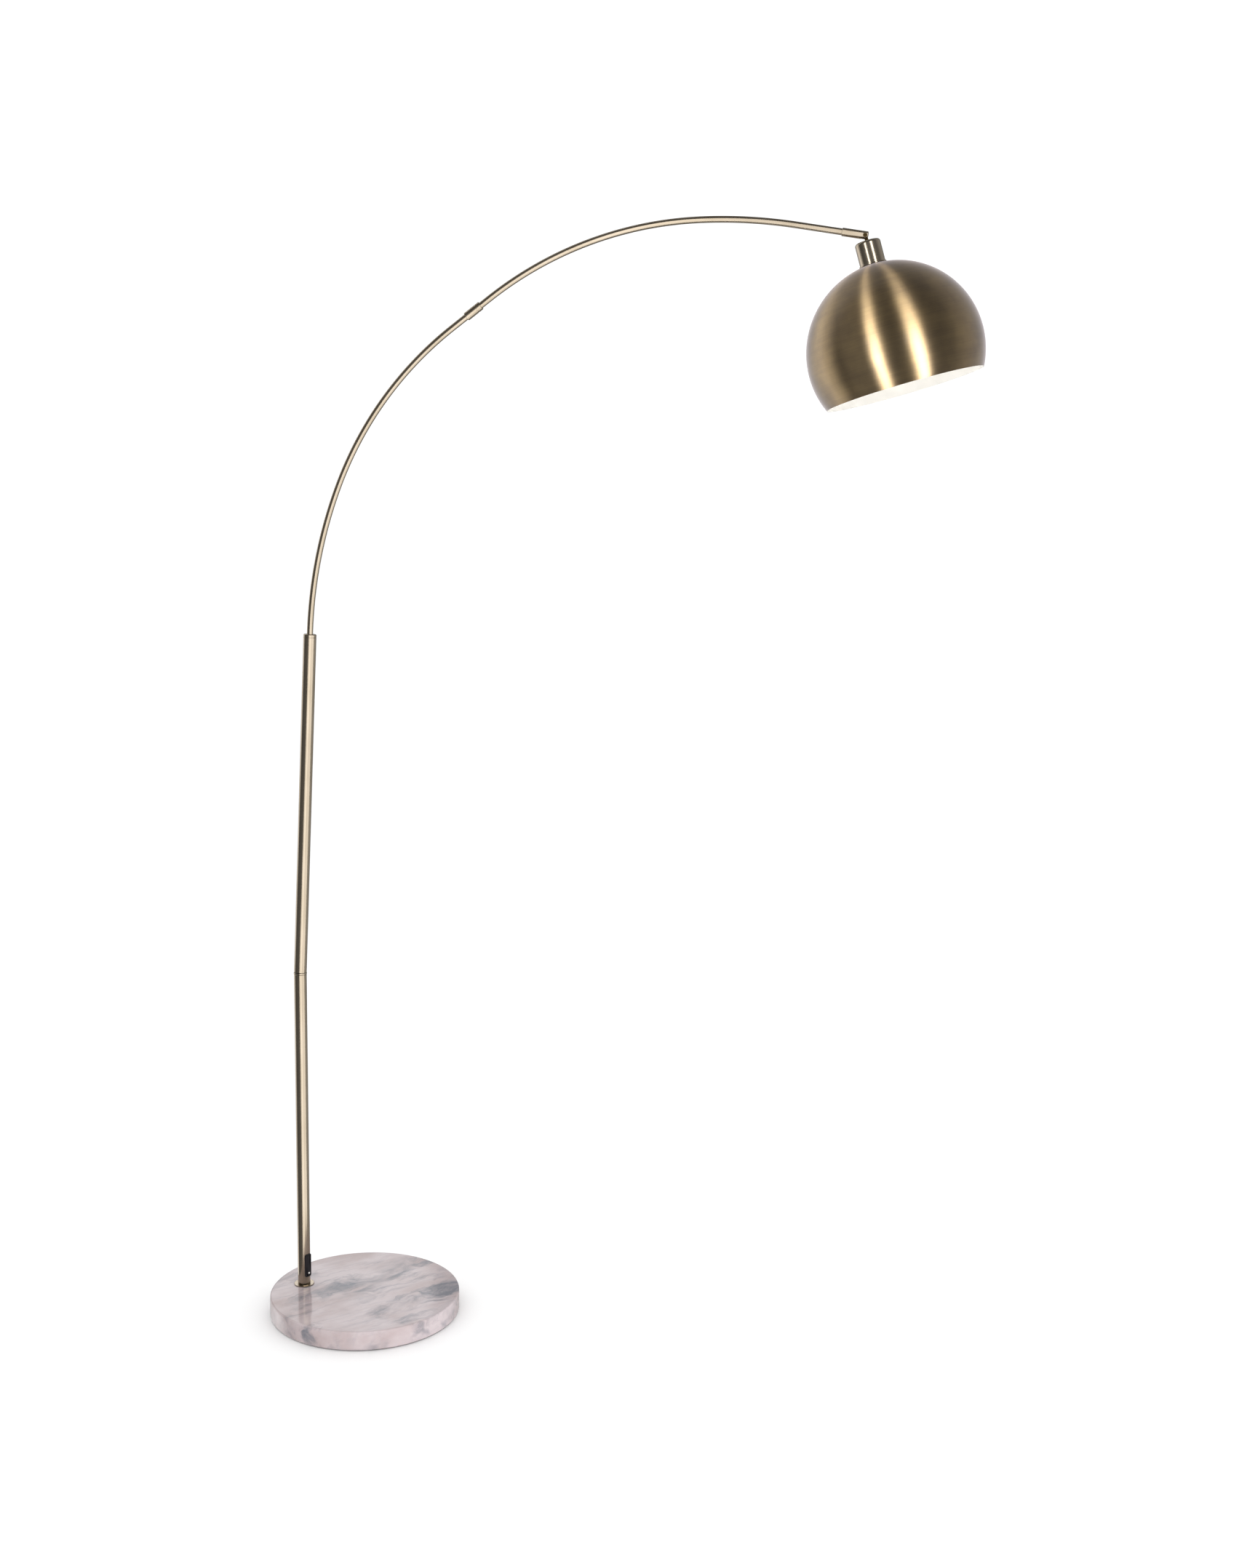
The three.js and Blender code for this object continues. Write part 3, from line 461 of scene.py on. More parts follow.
# Ground goes from white to mauve with the clouds, wisps lay grey over it, and veins lay deep
# grey over both where the smudges let them.
def buildMarble(tree, shader):
    angle = marbleSet["angle"]
    warp = cloudPattern(tree, marbleSet["warp"])
    veins = cloudPattern(tree, marbleSet["vein"], angle, marbleSet["veinShift"], 7, 0.62, 0.35,
                         (warp, marbleSet["warpPull"]))
    smudges = cloudPattern(tree, marbleSet["smudge"], angle, marbleSet["smudgeShift"])
    wisps = cloudPattern(tree, marbleSet["wisp"], angle + marbleSet["wispTurn"],
                         marbleSet["wispShift"], 6, 0.6, 0.4)
    clouds = cloudPattern(tree, marbleSet["cloud"], angle, marbleSet["cloudShift"], 4, 0.55)
    ground = addNode(tree, "ValToRGB", inputs=[clouds],
                     stops=[(0.38, marbleSet["white"]), (0.66, marbleSet["mauve"])])
    wispy = addNode(tree, "MapRange", inputs=[wisps, 0.52, 0.74, 0.0, marbleSet["wispShare"]])
    crossed = addNode(tree, "Mix", {"data_type": "RGBA"}, {
        "Factor": wispy.outputs[0], 6: ground.outputs[0], 7: marbleSet["grey"]})
    strong = addNode(tree, "MapRange", inputs=[veins, 0.48, 0.66, 0.0, 1.0])
    near = addNode(tree, "MapRange", inputs=[smudges, 0.40, 0.56, 0.2, 1.0])
    gathered = addNode(tree, "Math", {"operation": "MULTIPLY"},
                       [strong.outputs[0], near.outputs[0]])
    veined = addNode(tree, "Mix", {"data_type": "RGBA"}, {
        "Factor": gathered.outputs[0], 6: crossed.outputs[2], 7: marbleSet["deep"]})
    wire(tree, shader, veined.outputs[2], clouds, (0.3, 0.7), marbleSet["roughness"])


polishedMarble = newMaterial("polishedMarble", {"IOR": 1.5, "Specular IOR Level": 0.5}, buildMarble)


# A moulded, painted or plated surface with faint mottling and a fine bump, sizes in mm.
def plainFinish(name, dark, light, size, roughness, bump, bumpSize, settings):
    def build(tree, shader):
        mottle = cloudPattern(tree, (size,) * 3)
        colour = addNode(tree, "ValToRGB", inputs=[mottle], stops=[(0.3, dark), (0.7, light)])
        grain = cloudPattern(tree, (bumpSize,) * 3, detail=2)
        wire(tree, shader, colour.outputs[0], mottle, (0.3, 0.7), roughness, grain, bump)
    return newMaterial(name, settings, build)


# Pressed wool felt: matt, fuzzy, with short fibres.
woolFelt = plainFinish("woolFelt", "#232325", "#323236", 3, (0.92, 1.0), 0.6, 0.6,
                       {"IOR": 1.5, "Sheen Weight": 0.3})
# Moulded ABS: satin black with a fine grain.
blackAbs = plainFinish("mouldedBlackAbs", "#0d0b0f", "#17141a", 4, (0.30, 0.42), 0.15, 0.5,
                       {"IOR": 1.54})
# Pad-printed white paint on the rocker: flat, slightly soft shine.
whiteInk = plainFinish("padPrintedWhite", "#efece6", "#f8f6f2", 2, (0.35, 0.5), 0.1, 0.4,
                       {"IOR": 1.5})
# Zinc-plated steel: grey, dull shine.
zincSteel = plainFinish("zincPlatedSteel", "#9c9fa3", "#b4b7ba", 5, (0.28, 0.42), 0.1, 0.6,
                        {"Metallic": 1.0})
# Stamped brass strip of the switch and the lamp holder: yellow, even shine.
stampedBrass = plainFinish("stampedBrass", "#b08d4a", "#cba963", 4, (0.25, 0.38), 0.1, 0.5,
                           {"Metallic": 1.0})
# Turned nylon: milky, waxy.
nylon = plainFinish("turnedNylon", "#d6d2c6", "#e2ded2", 4, (0.42, 0.55), 0.1, 0.6, {"IOR": 1.53})
# Glazed porcelain: white, wet shine.
porcelain = plainFinish("glazedPorcelain", "#ece8de", "#f4f1e9", 6, (0.12, 0.2), 0.08, 1.2,
                        {"IOR": 1.5})
# Moulded white thermoplastic of the holder: satin, warm white.
whitePbt = plainFinish("mouldedWhitePbt", "#e9e6df", "#f2efe9", 6, (0.30, 0.42), 0.12, 0.7,
                       {"IOR": 1.55})
# PVC-sheathed flex: dull black.
pvcFlex = plainFinish("pvcFlex", "#161618", "#202023", 5, (0.5, 0.65), 0.15, 0.8, {"IOR": 1.53})
# Rolled aluminium cap of the bulb: pale, bright metal.
capMetal = plainFinish("rolledAluminium", "#c0c2c4", "#d2d4d6", 4, (0.22, 0.34), 0.08, 0.6,
                       {"Metallic": 1.0})
# White enamel sprayed inside the shade: soft gloss with orange peel.
whiteEnamel = plainFinish("sprayedWhiteEnamel", "#ebe9e4", "#f4f2ee", 30, (0.32, 0.42), 0.12,
                          2.4, {"IOR": 1.52})
# Opal glass: flashed white, so light spreads inside it, with a smooth outer skin.
opalGlass = plainFinish("opalGlass", "#f4f1ea", "#faf8f3", 20, (0.08, 0.14), 0.03, 3.0,
                        {"IOR": 1.5, "Emission Color": linear("#ffffff"),
                         "Emission Strength": 3.2, "Subsurface Weight": 0.35,
                         "Subsurface Radius": (0.006, 0.006, 0.005), "Subsurface Scale": 1.0})
print("finishes made")

# Places: each is a 4 x 4 matrix from a piece's own millimetre frame, in metres, to the lamp's.
gap = 0.3
lean, tilt = 2.42, 16.7  # degrees: the upper pole towards the arm, the shade's axis from upright
collarRadius = 16.0
poleSet = {"x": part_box("foot_collar")[0].x / mm + collarRadius, "radius": 10.0, "bore": 8.8,
           "kink": 552.0, "upperLength": 537.0, "edge": 0.3, "ringProud": 0.35, "ringHigh": 2.7,
           "ringHole": 5.8, "lowerRings": (47.0, 85.0), "upperRings": (518.0, 528.0)}
capSet = {"hole": 5.0, "plug": 8.5, "plugLength": 26.0, "high": 4.7, "round": 1.8,
          "screwBelowTop": 13.0, "screwHole": 2.2, "screwReach": 20.0}
footTop = 32.0
poleTop = Vector(joints["arm_turn"]["pos_m"])
shadePivot = Vector(joints["shade_tilt"]["pos_m"])


# Placing that moves up by a height in mm.
def shiftZ(height):
    return Matrix.Translation((0, 0, height * mm))


# Placing that leans the Z axis towards +X by an angle in degrees.
def leanY(angle):
    return Matrix.Rotation(math.radians(angle), 4, "Y")


polePlace = Matrix.Translation((poleSet["x"] * mm, 0, 0))
upperPlace = polePlace @ shiftZ(poleSet["kink"]) @ leanY(lean)
armPlace = Matrix.Translation(poleTop) @ leanY(lean)
headPlace = Matrix.Translation(shadePivot) @ leanY(-tilt)

# Arm's centre line: (radius, bend in degrees) is an arc and (length,) is a straight, in turn.
armSet = {"runs": [(682, 19.5), (536, 31.5), (71,), (546, 34.6), (732, 10.9), (108,)],
          "radius": 4.7, "bore": 3.7, "stub": 60.0, "split": 568.0, "pivotAlong": 1165.8,
          "tubeEnd": 18.0, "sides": 40, "step": 3.2}


# Place and heading at each distance along the arm: it starts straight up, each arc turns it
# towards +X at its own radius, and each straight keeps its heading. Distances below 0 go down.
def armLine(distances):
    distances = np.asarray(distances, float)
    x, z = np.zeros_like(distances), np.minimum(distances, 0)
    heading = np.full_like(distances, math.pi / 2)
    left = np.maximum(distances, 0)
    for run in armSet["runs"]:
        length = run[0] if len(run) == 1 else run[0] * math.radians(run[1])
        used = np.minimum(left, length)
        if len(run) == 1:
            x, z = x + used * np.cos(heading), z + used * np.sin(heading)
        else:
            after = heading - used / run[0]
            x = x + run[0] * (np.sin(heading) - np.sin(after))
            z = z + run[0] * (np.cos(after) - np.cos(heading))
            heading = after
        left = left - used
    return x, z, heading


# Placing at a distance along the arm, with its Z axis along the centre line.
def atArm(distance):
    x, z, heading = (float(value[0]) for value in armLine([distance]))
    return armPlace @ Matrix.Translation((x * mm, 0, z * mm)) @ leanY(90 - math.degrees(heading))


# A tube along the arm: a circle square to the centre line, carried out along it at the outer
# radius and back at the bore's.
def armTube(name, start, end):
    distances = np.linspace(start, end, int((end - start) / armSet["step"]))
    x, z, heading = armLine(distances)
    centre = np.stack([x, 0 * x, z], -1)
    across = np.stack([np.sin(heading), 0 * x, -np.cos(heading)], -1)
    angle = np.linspace(0, 2 * math.pi, armSet["sides"] + 1)[:, None]

    def rings(radius, order):
        side = np.cos(angle) * across[order][:, None] + np.sin(angle) * np.array([0, 1.0, 0])
        return centre[order][:, None] + radius * side

    out, back = np.arange(len(x)), np.arange(len(x))[::-1]
    grid = np.concatenate([rings(armSet["radius"], out), rings(armSet["bore"], back),
                           rings(armSet["radius"], out[:1])])
    along = np.concatenate([distances, distances[::-1], distances[:1]]) * mm
    return skin(name, moved(grid * mm, armPlace), along)


# Foot: polished marble disc with a rounded top edge, cut below for the nut and the flex.
footSet = {"radius": 151.0, "low": 1.9, "edge": 2.5, "lowEdge": 1.4, "recess": 24.0,
           "recessTop": 22.0, "groove": 4.5, "grooveTop": 10.0, "grooveEnd": -160.0,
           "studHole": 6.6}
stone = turned("marbleFoot", rounded([
    (0, footSet["low"]), (footSet["radius"], footSet["low"], footSet["lowEdge"]),
    (footSet["radius"], footTop, footSet["edge"]), (0, footTop)], closed=False), Matrix(), 256)
marbleFoot = worked(stone, [
    cutterRod(footSet["studHole"], 0, footTop + 5, polePlace),
    cutterRod(footSet["recess"], -1, footSet["recessTop"], polePlace, 64),
    cutterBlock((footSet["grooveEnd"], -footSet["groove"], -1),
                (poleSet["x"], footSet["groove"], footSet["grooveTop"]), Matrix())])
dress(marbleFoot, "base", ["marble_base"], "marble", polishedMarble)

collarSet = {"radius": collarRadius, "hole": 6.3, "low": footTop + gap, "high": footTop + gap + 1.2,
             "edge": 0.6, "lowEdge": 0.2}
footCollar = turned("footCollar", rounded([
    (collarSet["hole"], collarSet["low"]),
    (collarSet["radius"], collarSet["low"], collarSet["lowEdge"]),
    (collarSet["radius"], collarSet["high"], collarSet["edge"]),
    (collarSet["hole"], collarSet["high"])]), polePlace)
dress(footCollar, "base", ["foot_collar"], "pole_brass", tubeBrass)
print("foot made")

# Pole: two tubes, a thin ring where they screw together, and the cap that the arm stands in.
switchHigh, switchTurn = 66.0, -27.0  # mm above the floor, degrees round the pole
switchPlace = (polePlace @ shiftZ(switchHigh)
               @ Matrix.Rotation(math.radians(switchTurn), 4, "Z"))
window = (20.0, 5.0, 17.9)  # mm outwards, and half sizes across and along
lowerTop = poleSet["kink"] - 1.8
tubeFoot = collarSet["high"] + gap


# The extra rings stand on both sides of a cut and keep it from bending the shading elsewhere.
def poleTube(name, low, high, place, rings):
    held = [(poleSet["radius"], height) for height in rings]
    return turned(name, rounded([
        (poleSet["bore"], low), (poleSet["radius"], low, poleSet["edge"]), *held,
        (poleSet["radius"], high, poleSet["edge"]), (poleSet["bore"], high)]), place)


lowerTube = worked(poleTube("poleLower", tubeFoot, lowerTop, polePlace, poleSet["lowerRings"]), [
    cutterBlock((0, -window[1], -window[2]), window, switchPlace)])
dress(lowerTube, "base", ["pole_lower_tube"], "pole_brass", tubeBrass)

ringLow = lowerTop + gap
ringOut, ringTop = poleSet["radius"] + poleSet["ringProud"], ringLow + poleSet["ringHigh"]
jointRing = turned("poleRing", rounded([
    (poleSet["ringHole"], ringLow), (poleSet["radius"], ringLow), (ringOut, ringLow + 0.5, 0.2),
    (ringOut, ringTop - 0.5, 0.2), (poleSet["radius"], ringTop),
    (poleSet["ringHole"], ringTop)]), polePlace)
dress(jointRing, "base", ["pole_joint_ring"], "pole_brass", tubeBrass)

capTop = poleSet["upperLength"]
capLow, plugLow = capTop - capSet["high"], capTop - capSet["plugLength"]
screwPlace = upperPlace @ shiftZ(capTop - capSet["screwBelowTop"]) @ leanY(-90)
upperTube = worked(
    poleTube("poleUpper", 2.1, capLow - gap, upperPlace, poleSet["upperRings"]),
    [cutterRod(capSet["screwHole"], 0, capSet["screwReach"], screwPlace)])
dress(upperTube, "base", ["pole_upper_tube"], "pole_brass", tubeBrass)

topBush = turned("poleCap", rounded([
    (capSet["hole"], capTop, 0.5), (capSet["hole"], plugLow), (capSet["plug"], plugLow),
    (capSet["plug"], capLow), (poleSet["radius"], capLow, 0.25),
    (poleSet["radius"], capTop, capSet["round"])]), upperPlace)
topBush = worked(topBush, [cutterRod(capSet["screwHole"], 0, capSet["screwReach"], screwPlace)])
dress(topBush, "base", ["pole_top_bush"], "pole_brass", tubeBrass)
print("pole made")

# Arm: two bowed tubes and the grooved sleeve that joins them.
armLower = armTube("armLower", -armSet["stub"], armSet["split"] - gap)
dress(armLower, "arm", ["arm_lower_tube"], "arm_brass", tubeBrass)
armUpper = armTube("armUpper", armSet["split"] + gap, armSet["pivotAlong"] - armSet["tubeEnd"])
dress(armUpper, "arm", ["arm_upper_tube"], "arm_brass", tubeBrass)

sleeveSet = {"radius": 6.4, "hole": 5.0, "half": 13.5, "grooveAt": 6.0, "grooveHalf": 0.6,
             "grooveDeep": 0.5, "edge": 0.5, "grooveEdge": 0.12, "screwHole": 1.7,
             "screwAt": -8.0}
sleevePlace = atArm(armSet["split"])
groove = sleeveSet["radius"] - sleeveSet["grooveDeep"]
grooveLow = sleeveSet["grooveAt"] - sleeveSet["grooveHalf"]
grooveHigh = sleeveSet["grooveAt"] + sleeveSet["grooveHalf"]
sleeve = turned("armSleeve", rounded([
    (sleeveSet["hole"], -sleeveSet["half"]),
    (sleeveSet["radius"], -sleeveSet["half"], sleeveSet["edge"]),
    (sleeveSet["radius"], grooveLow, sleeveSet["grooveEdge"]), (groove, grooveLow),
    (groove, grooveHigh), (sleeveSet["radius"], grooveHigh, sleeveSet["grooveEdge"]),
    (sleeveSet["radius"], sleeveSet["half"], sleeveSet["edge"]),
    (sleeveSet["hole"], sleeveSet["half"])]), sleevePlace)
sleeveScrew = sleevePlace @ shiftZ(sleeveSet["screwAt"]) @ leanY(90)
sleeve = worked(sleeve, [cutterRod(sleeveSet["screwHole"], 0, 12, sleeveScrew)])
dress(sleeve, "arm", ["arm_joint_sleeve"], "arm_brass", tubeBrass)

# Ferrule: the arm's end piece, slotted for the swivel and drilled across for its screw.
ferruleSet = {"radius": 5.8, "start": -32.9, "end": 3.6, "socket": 15.5, "tubeHole": 5.0,
              "leadHole": 2.7, "slot": 2.7, "slotFrom": -6.4, "screwHole": 1.8, "seat": 3.8,
              "headHole": 3.2, "nutHole": 3.3}
tipPlace = atArm(armSet["pivotAlong"])
acrossPlace = tipPlace @ Matrix.Rotation(math.radians(90), 4, "X")
ferrule = turned("tipFerrule", rounded([
    (0, ferruleSet["start"]), (ferruleSet["radius"], ferruleSet["start"], 0.5),
    (ferruleSet["radius"], ferruleSet["end"], 0.7), (0, ferruleSet["end"])], closed=False),
    tipPlace)
socketEnd = ferruleSet["start"] + ferruleSet["socket"]
ferrule = worked(ferrule, [
    cutterRod(ferruleSet["tubeHole"], ferruleSet["start"] - 1, socketEnd, tipPlace),
    cutterRod(ferruleSet["leadHole"], socketEnd - 1, ferruleSet["end"] - 1, tipPlace),
    cutterBlock((-4, -ferruleSet["slot"], ferruleSet["slotFrom"]),
                (10, ferruleSet["slot"], 6), tipPlace),
    cutterRod(ferruleSet["screwHole"], -10, 10, acrossPlace),
    cutterRod(ferruleSet["headHole"], ferruleSet["seat"], 10, acrossPlace),
    cutterRod(ferruleSet["nutHole"], -10, -ferruleSet["seat"], acrossPlace)])
dress(ferrule, "arm", ["tip_ferrule"], "arm_brass", tubeBrass)
print("arm made")

# Head: the chamfered cup, turned and polished, and the spun shade, brushed round its axis.
cupSet = {"radius": 18.1, "hole": 5.3, "top": -8.4, "bottom": -41.85, "wall": 1.2, "lip": 19.3,
          "shoulder": 4.2, "sides": 160}
cupInside, cupCeiling = cupSet["radius"] - cupSet["wall"], cupSet["top"] - cupSet["wall"]
cup = turned("lampCup", rounded([
    (cupSet["hole"], cupSet["top"], 0.4), (cupSet["radius"], cupSet["top"], cupSet["shoulder"]),
    (cupSet["radius"], cupSet["bottom"] + 1.9, 0.2), (cupSet["lip"], cupSet["bottom"] + 1.5, 0.3),
    (cupSet["lip"], cupSet["bottom"], 0.4), (cupInside, cupSet["bottom"]),
    (cupInside, cupCeiling, cupSet["shoulder"] - cupSet["wall"]),
    (cupSet["hole"], cupCeiling)], steps=12), headPlace, cupSet["sides"])
dress(cup, "head", ["lamp_cup"], "shade_brass", tubeBrass)

shadeSet = {"radius": 124.45, "centre": -40.8 - 124.5, "wall": 0.6, "rimBelow": 52.8,
            "hole": 5.3, "rows": 110, "sides": 256, "lipRows": 8}


# Half outline of the dome: a circle's arc from the hole at the crown to past its widest ring,
# outside going down, round the lip, and back up inside.
def domeOutline():
    def arc(radius, order):
        first = math.asin(shadeSet["hole"] / radius)
        last = math.pi / 2 + math.asin(shadeSet["rimBelow"] / radius)
        angle = np.linspace(first, last, shadeSet["rows"])[::order]
        return np.stack([radius * np.sin(angle), shadeSet["centre"] + radius * np.cos(angle)], -1)

    outside, inside = arc(shadeSet["radius"], 1), arc(shadeSet["radius"] - shadeSet["wall"], -1)
    middle = (outside[-1] + inside[0]) / 2
    share = np.linspace(0, math.pi, shadeSet["lipRows"])[1:-1, None]
    down = np.array([0.0, -shadeSet["wall"] / 2])
    lip = middle + np.cos(share) * (outside[-1] - middle) + np.sin(share) * down
    return np.vstack([outside, lip, inside, outside[:1]])


shade = turned("shadeDome", domeOutline(), headPlace, shadeSet["sides"])
dress(shade, "head", ["shade"], "shade_brass", brushedBrass, whiteEnamel)
# Faces that look at the dome's centre are the enamelled inside.
domeCentre = headPlace @ Vector((0, 0, shadeSet["centre"] * mm))
count = len(shade.data.polygons)
centres, normals = np.empty(count * 3), np.empty(count * 3)
shade.data.polygons.foreach_get("center", centres)
shade.data.polygons.foreach_get("normal", normals)
outwards = centres.reshape(-1, 3) - np.array(domeCentre)
inward = (outwards * normals.reshape(-1, 3)).sum(1) < 0
shade.data.polygons.foreach_set("material_index", inward.astype(np.int32))
print("shade made")

# Lamp holder and bulb, seen from below. Profiles are (radius, depth below the piece's top,
# rounding) in mm.
holderSet = {"top": -50.5, "radius": 17.2, "inside": 15.0, "sides": 72,
             "capProfile": [(5.3, 0), (8, 0, 0.4), (9, 1.5, 0.6), (15, 4.5, 2), (17.2, 8, 1.5),
                            (17.2, 17, 0.3), (15.6, 17), (15.6, 8.4), (14, 6), (5.3, 3)],
             "skirtDrop": 17.3, "skirtHigh": 34.0, "skirtOut": 0.8, "ribs": 26,
             "ribPitch": 1.15, "firstRib": 1.5,
             "ringProfile": [(18.3, 0), (23.6, 0, 0.8), (23.6, 6, 0.8), (18.3, 6)],
             "ringDrop": 6.0, "ringSides": 96}


# A profile of (radius, depth) hung from a height, each point keeping its rounding.
def hung(profile, top):
    return [(radius, top - depth, *rounding) for radius, depth, *rounding in profile]


holderCap = turned("holderCap", rounded(hung(holderSet["capProfile"], holderSet["top"])),
                   headPlace, holderSet["sides"])
dress(holderCap, "head", ["holder_cap"], "white_plastic", whitePbt)
skirtTop = holderSet["top"] - holderSet["skirtDrop"]
skirtLow = skirtTop - holderSet["skirtHigh"]
ribs = [(holderSet["radius"] + holderSet["skirtOut"] * (0.55 if i % 2 else 1.0),
         skirtTop - holderSet["firstRib"] - i * holderSet["ribPitch"], 0.25)
        for i in range(holderSet["ribs"])]
holderSkirt = turned("holderSkirt", rounded([
    (holderSet["inside"], skirtTop), (holderSet["radius"], skirtTop, 0.4), *ribs,
    (holderSet["radius"], skirtLow, 0.4), (holderSet["inside"], skirtLow)], steps=3),
    headPlace, holderSet["sides"])
dress(holderSkirt, "head", ["holder_skirt"], "white_plastic", whitePbt)
clampTop = skirtTop - holderSet["ringDrop"]
clampRing = turned("holderRing", rounded(hung(holderSet["ringProfile"], clampTop)),
                   headPlace, holderSet["ringSides"])
dress(clampRing, "head", ["holder_clamp_ring"], "white_plastic", whitePbt)

bulbSet = {"top": holderSet["top"] - 21.3, "cap": 25.0, "globe": 30.0, "drop": 44.0,
           "capRadius": 13.2, "thread": 0.55, "pitch": 3.6, "threadFrom": 6.5, "threadRows": 60,
           "tipProfile": [(0, 0), (4.5, 0), (5, 1.6), (11, 4), (12.9, 5.6)],
           "insideProfile": [(12.4, 6.6), (10.6, 4.8), (0, 0.8)], "capInside": 12.4}
bulbCapLow = bulbSet["top"] - bulbSet["cap"]
bulbCentre = bulbCapLow - bulbSet["drop"]
turns = np.linspace(bulbSet["top"] - bulbSet["threadFrom"], bulbCapLow + 2, bulbSet["threadRows"])
wave = 0.5 - 0.5 * np.cos((turns - turns[0]) * 2 * math.pi / bulbSet["pitch"])
bulbCap = turned("bulbCap", np.vstack([
    hung(bulbSet["tipProfile"], bulbSet["top"]),
    np.stack([bulbSet["capRadius"] - bulbSet["thread"] * wave, turns], -1),
    [(bulbSet["capRadius"], bulbCapLow), (bulbSet["capInside"], bulbCapLow)],
    hung(bulbSet["insideProfile"], bulbSet["top"])]), headPlace, 64)
dress(bulbCap, "head", ["bulb_cap"], "bulb_metal", capMetal)


# Outline of the glass: a neck that eases out into a round globe, sampled as one smooth curve.
def glassOutline(inset):
    angle = np.radians(np.linspace(38, -90, 40))
    radius = bulbSet["globe"] - inset
    ball = np.stack([radius * np.cos(angle), bulbCentre + radius * np.sin(angle)], -1)
    ball[-1, 0] = 0
    start = np.array([12.5 - inset, bulbCapLow - gap])
    share = np.linspace(0, 1, 16)[:-1, None]
    pull, lead = np.array([0, -15.0]), np.array([-9.5, 12.0])
    neck = ((1 - share) ** 3 * start + 3 * (1 - share) ** 2 * share * (start + pull)
            + 3 * (1 - share) * share ** 2 * (ball[0] + lead) + share ** 3 * ball[0])
    return np.vstack([neck, ball])


bulbGlobe = turned("bulbGlobe", np.vstack([glassOutline(0)[::-1], glassOutline(1.0)]),
                   headPlace)
dress(bulbGlobe, "head", ["bulb_globe"], "opal_glass", opalGlass)
print("holder and bulb made")

# Rocker switch: a long bezel that saddles the pole, a rocker with a shallow V face, a white dot.
switchSet = {"half": (6.0, 19.3), "corner": 3.2, "face": 11.1, "edge": 0.8, "inside": 5.2,
             "opening": (3.6, 16.9, 1.0), "neck": (4.7, 17.6, 1.4), "rockerHalf": (3.3, 15.9),
             "rockerAngle": 4.0, "rockerBelowFace": 0.6, "pin": 3.2, "dot": 1.6,
             "dotPocket": 1.7, "dotFromEnd": 2.9, "foot": (4.2, -1.9)}


# Rounded rectangle in the plane across X: y and z from its half sizes and corner radius, at one
# depth or at a depth worked out from y and z. Points are even in angle round each corner.
def frameRing(halfWidth, halfLength, corner, depth, count=10):
    corner = min(corner, halfWidth, halfLength)
    quarter = np.linspace(0, math.pi / 2, count)
    run = np.linspace(1, -1, 15)[1:-1] * (halfLength - corner)
    y, z = [], []
    for k, (sideY, sideZ) in enumerate([(1, 1), (-1, 1), (-1, -1), (1, -1)]):
        angle = quarter + k * math.pi / 2
        y.append(sideY * (halfWidth - corner) + corner * np.cos(angle))
        z.append(sideZ * (halfLength - corner) + corner * np.sin(angle))
        if k % 2:
            y.append(np.full_like(run, sideY * halfWidth))
            z.append(run * sideZ)
    y, z = np.concatenate(y), np.concatenate(z)
    y, z = np.append(y, y[0]), np.append(z, z[0])
    x = depth(y, z) if callable(depth) else np.full_like(y, depth)
    return np.stack([x, y, z], -1)


# Depth of the bezel's back on the round pole: the square root of the radius squared less y
# squared, the same at every height z.
def onPole(y, z):
    return np.sqrt((poleSet["radius"] + gap) ** 2 - y ** 2)


# A quarter round from the side of the bezel to its face, as (inset, depth) pairs.
edge = [(switchSet["edge"] * (1 - math.cos(a)),
         switchSet["face"] - switchSet["edge"] * (1 - math.sin(a)))
        for a in np.linspace(0, math.pi / 2, 6)]
openWidth, openLength, openCorner = switchSet["opening"]
outWidth, outLength = switchSet["half"]
bezelRings = [frameRing(outWidth, outLength, switchSet["corner"], onPole)]
bezelRings += [frameRing(outWidth - inset, outLength - inset, switchSet["corner"] - inset, depth)
               for inset, depth in edge]
bezelRings += [frameRing(openWidth + inset, openLength + inset, openCorner + inset,
                         switchSet["face"] - drop)
               for inset, drop in [(0.5, 0), (0.25, 0.07), (0.07, 0.25), (0, 0.5)]]
bezelRings += [frameRing(openWidth, openLength, openCorner, switchSet["inside"]),
               frameRing(*switchSet["neck"], switchSet["inside"]),
               frameRing(*switchSet["neck"], onPole), bezelRings[0]]
bezel = lofted("switchBezel", bezelRings, switchPlace)
dress(bezel, "base", ["switch_bezel"], "black_plastic", blackAbs)

slope = math.tan(math.radians(switchSet["rockerAngle"]))
crest = switchSet["face"] - switchSet["rockerBelowFace"] - switchSet["pin"]
keyPlace = (switchPlace @ Matrix.Translation((switchSet["pin"] * mm, 0, 0))
            @ leanY(-switchSet["rockerAngle"]))
rockerWidth, rockerLength = switchSet["rockerHalf"]
footLength, footDepth = switchSet["foot"]


# Depth of the rocker's face: a shallow V whose two slopes meet in a soft middle at z = 0.
def vFace(drop):
    return lambda y, z: crest + np.sqrt(z ** 2 + 0.5) * slope - drop


rockerRings = [frameRing(rockerWidth - inset, footLength, 1.0, footDepth)
               for inset in (rockerWidth, 1.6, 0)]
rockerRings += [frameRing(rockerWidth, rockerLength - 0.5, 1.0, crest - 3.2)]
rockerRings += [frameRing(rockerWidth - inset, rockerLength - inset, 1.0, vFace(drop))
                for inset, drop in [(0, 0.6), (0.05, 0.38), (0.18, 0.18), (0.38, 0.05), (0.6, 0)]]
rockerRings += [frameRing(rockerWidth - inset, rockerLength - inset, 1.0, vFace(0))
                for inset in (1.3, 2.3, rockerWidth)]
rocker = lofted("switchRocker", rockerRings, keyPlace)
dotAt = -rockerLength + switchSet["dotFromEnd"]
dotFace = crest + abs(dotAt) * slope
dotPlace = keyPlace @ shiftZ(dotAt) @ leanY(90)
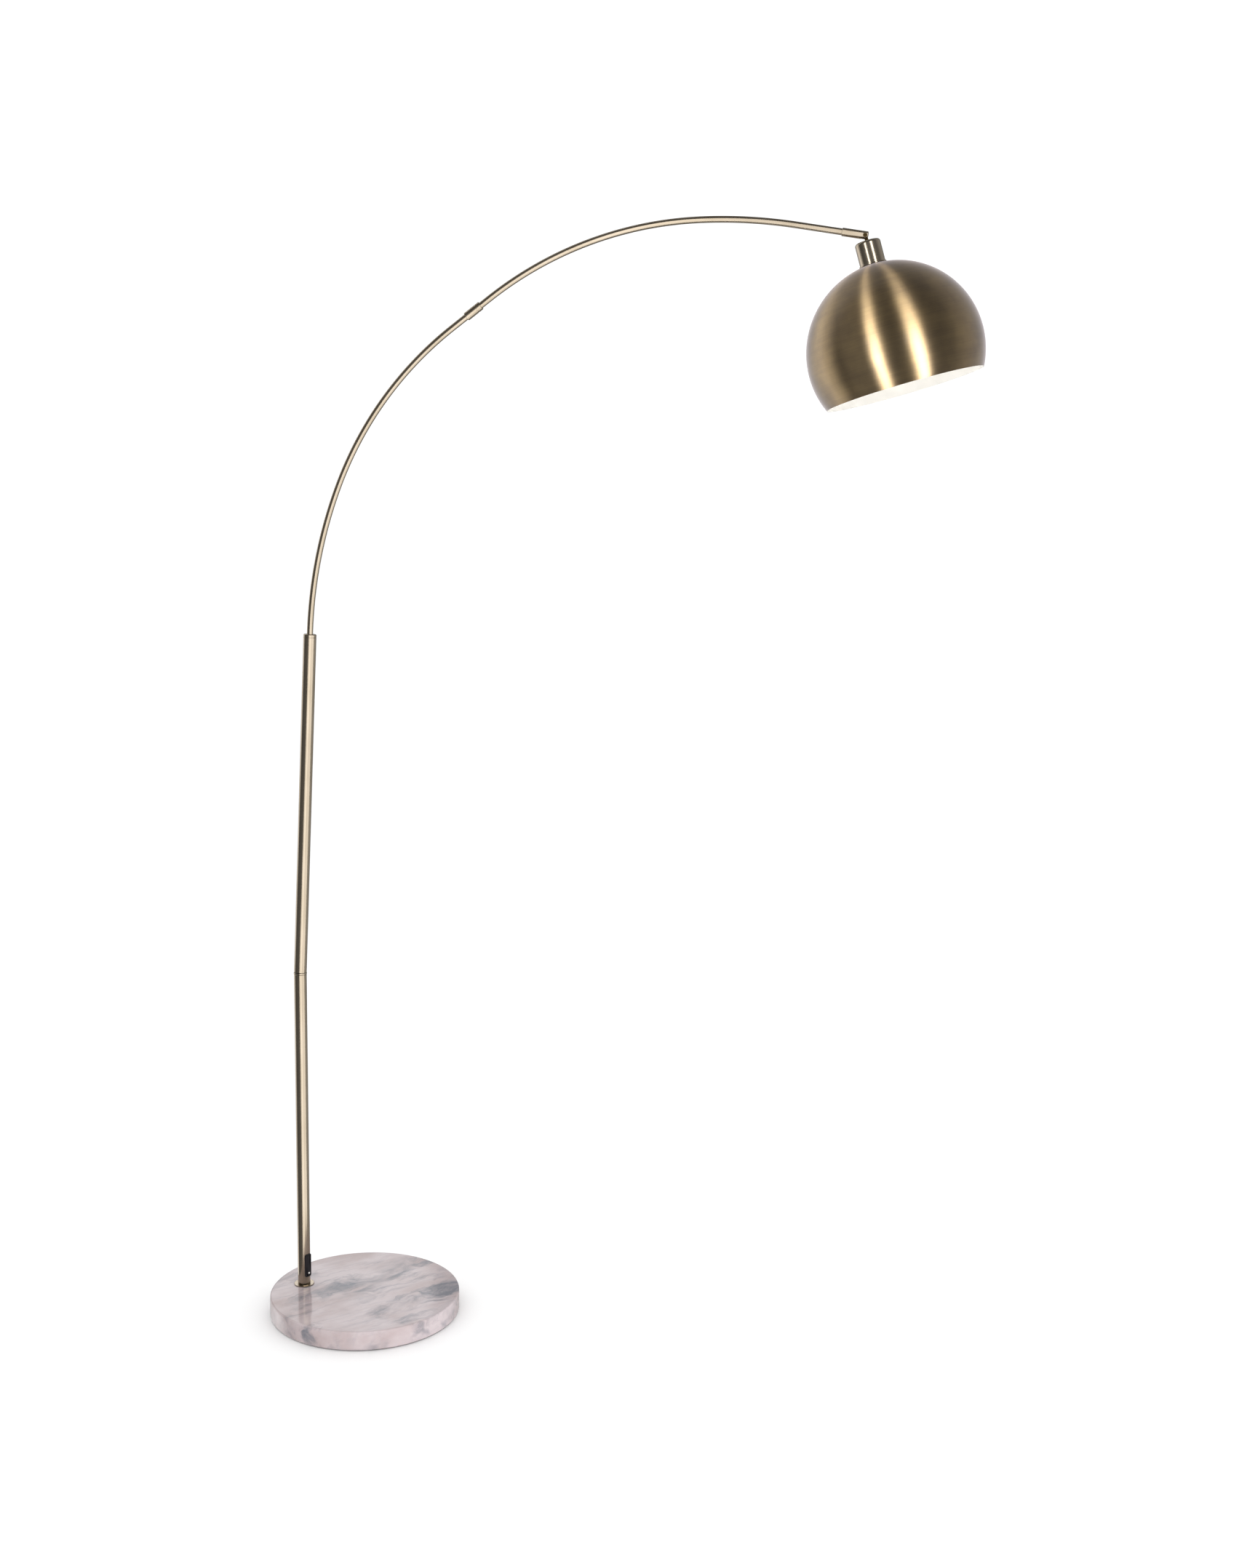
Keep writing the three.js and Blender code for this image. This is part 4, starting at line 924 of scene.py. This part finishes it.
rocker = worked(rocker, [cutterRod(switchSet["dotPocket"], dotFace - 0.7, dotFace + 2, dotPlace)],
                sharpAngle=40)
dress(rocker, "rocker", ["switch_rocker"], "black_plastic", blackAbs)
dotLow, dotHigh = dotFace - 0.5, dotFace + 0.15
whiteDot = turned("switchDot", rounded([
    (0, dotLow), (switchSet["dot"], dotLow), (switchSet["dot"], dotHigh, 0.25), (0, dotHigh)],
    closed=False), dotPlace, 40)
dress(whiteDot, "rocker", ["switch_mark"], "white_plastic", whiteInk)
print("switch made")

# CAD pieces whose shape is right keep it, with a finish of their own.
keptFinishes = {
    woolFelt: ["underside_felt"],
    pvcFlex: ["cord_outlet_bush", "lead_inlet", "lead_pole", "lead_arm", "lead_head"],
    zincSteel: ["base_stud", "base_washer", "base_lock_washer", "base_nut", "pole_foot_insert",
                "pole_lower_insert", "pole_joint_nipple", "pole_upper_insert", "arm_set_screw",
                "arm_joint_spigot", "arm_joint_screw", "switch_pin", "cup_lock_nut",
                "shade_washer", "shade_nut"],
    blackAbs: ["switch_body"],
    stampedBrass: ["switch_terminal_feed", "switch_terminal_load", "switch_contact",
                   "holder_contact", "holder_liner"],
    nylon: ["arm_foot_bush", "tilt_washer_near", "tilt_washer_far"],
    porcelain: ["holder_block"],
    fittingBrass: ["swivel_tongue", "tilt_screw", "tilt_nut"],
}
for finish, names in keptFinishes.items():
    for name in names:
        for slot in frame["nodes"][name].material_slots:
            slot.material = finish

# Which lamps light which pieces.
stand = [lowerTube, jointRing, upperTube, topBush, armLower, armUpper, sleeve, ferrule]
for part, pieces in {"head": [shade], "cup": [cup], "foot": [marbleFoot],
                     "collar": [footCollar], "stand": stand}.items():
    for piece in pieces:
        lit[part].objects.link(piece)

# Floor: plain pale ground that polished metal doesn't mirror.
floorSet = {"radius": 40.0 / mm, "low": -20.0, "colour": "#fbfbfb", "roughness": 0.9}
floor = turned("floor", [(0, 0), (floorSet["radius"], 0), (floorSet["radius"], floorSet["low"]),
                         (0, floorSet["low"])], Matrix())
# Matt painted board: even, without a shine.
floor.data.materials.append(newMaterial("mattPaintedBoard", {
    "Base Color": floorSet["colour"], "Roughness": floorSet["roughness"]}))
floor.visible_glossy = False
floor.visible_shadow = False
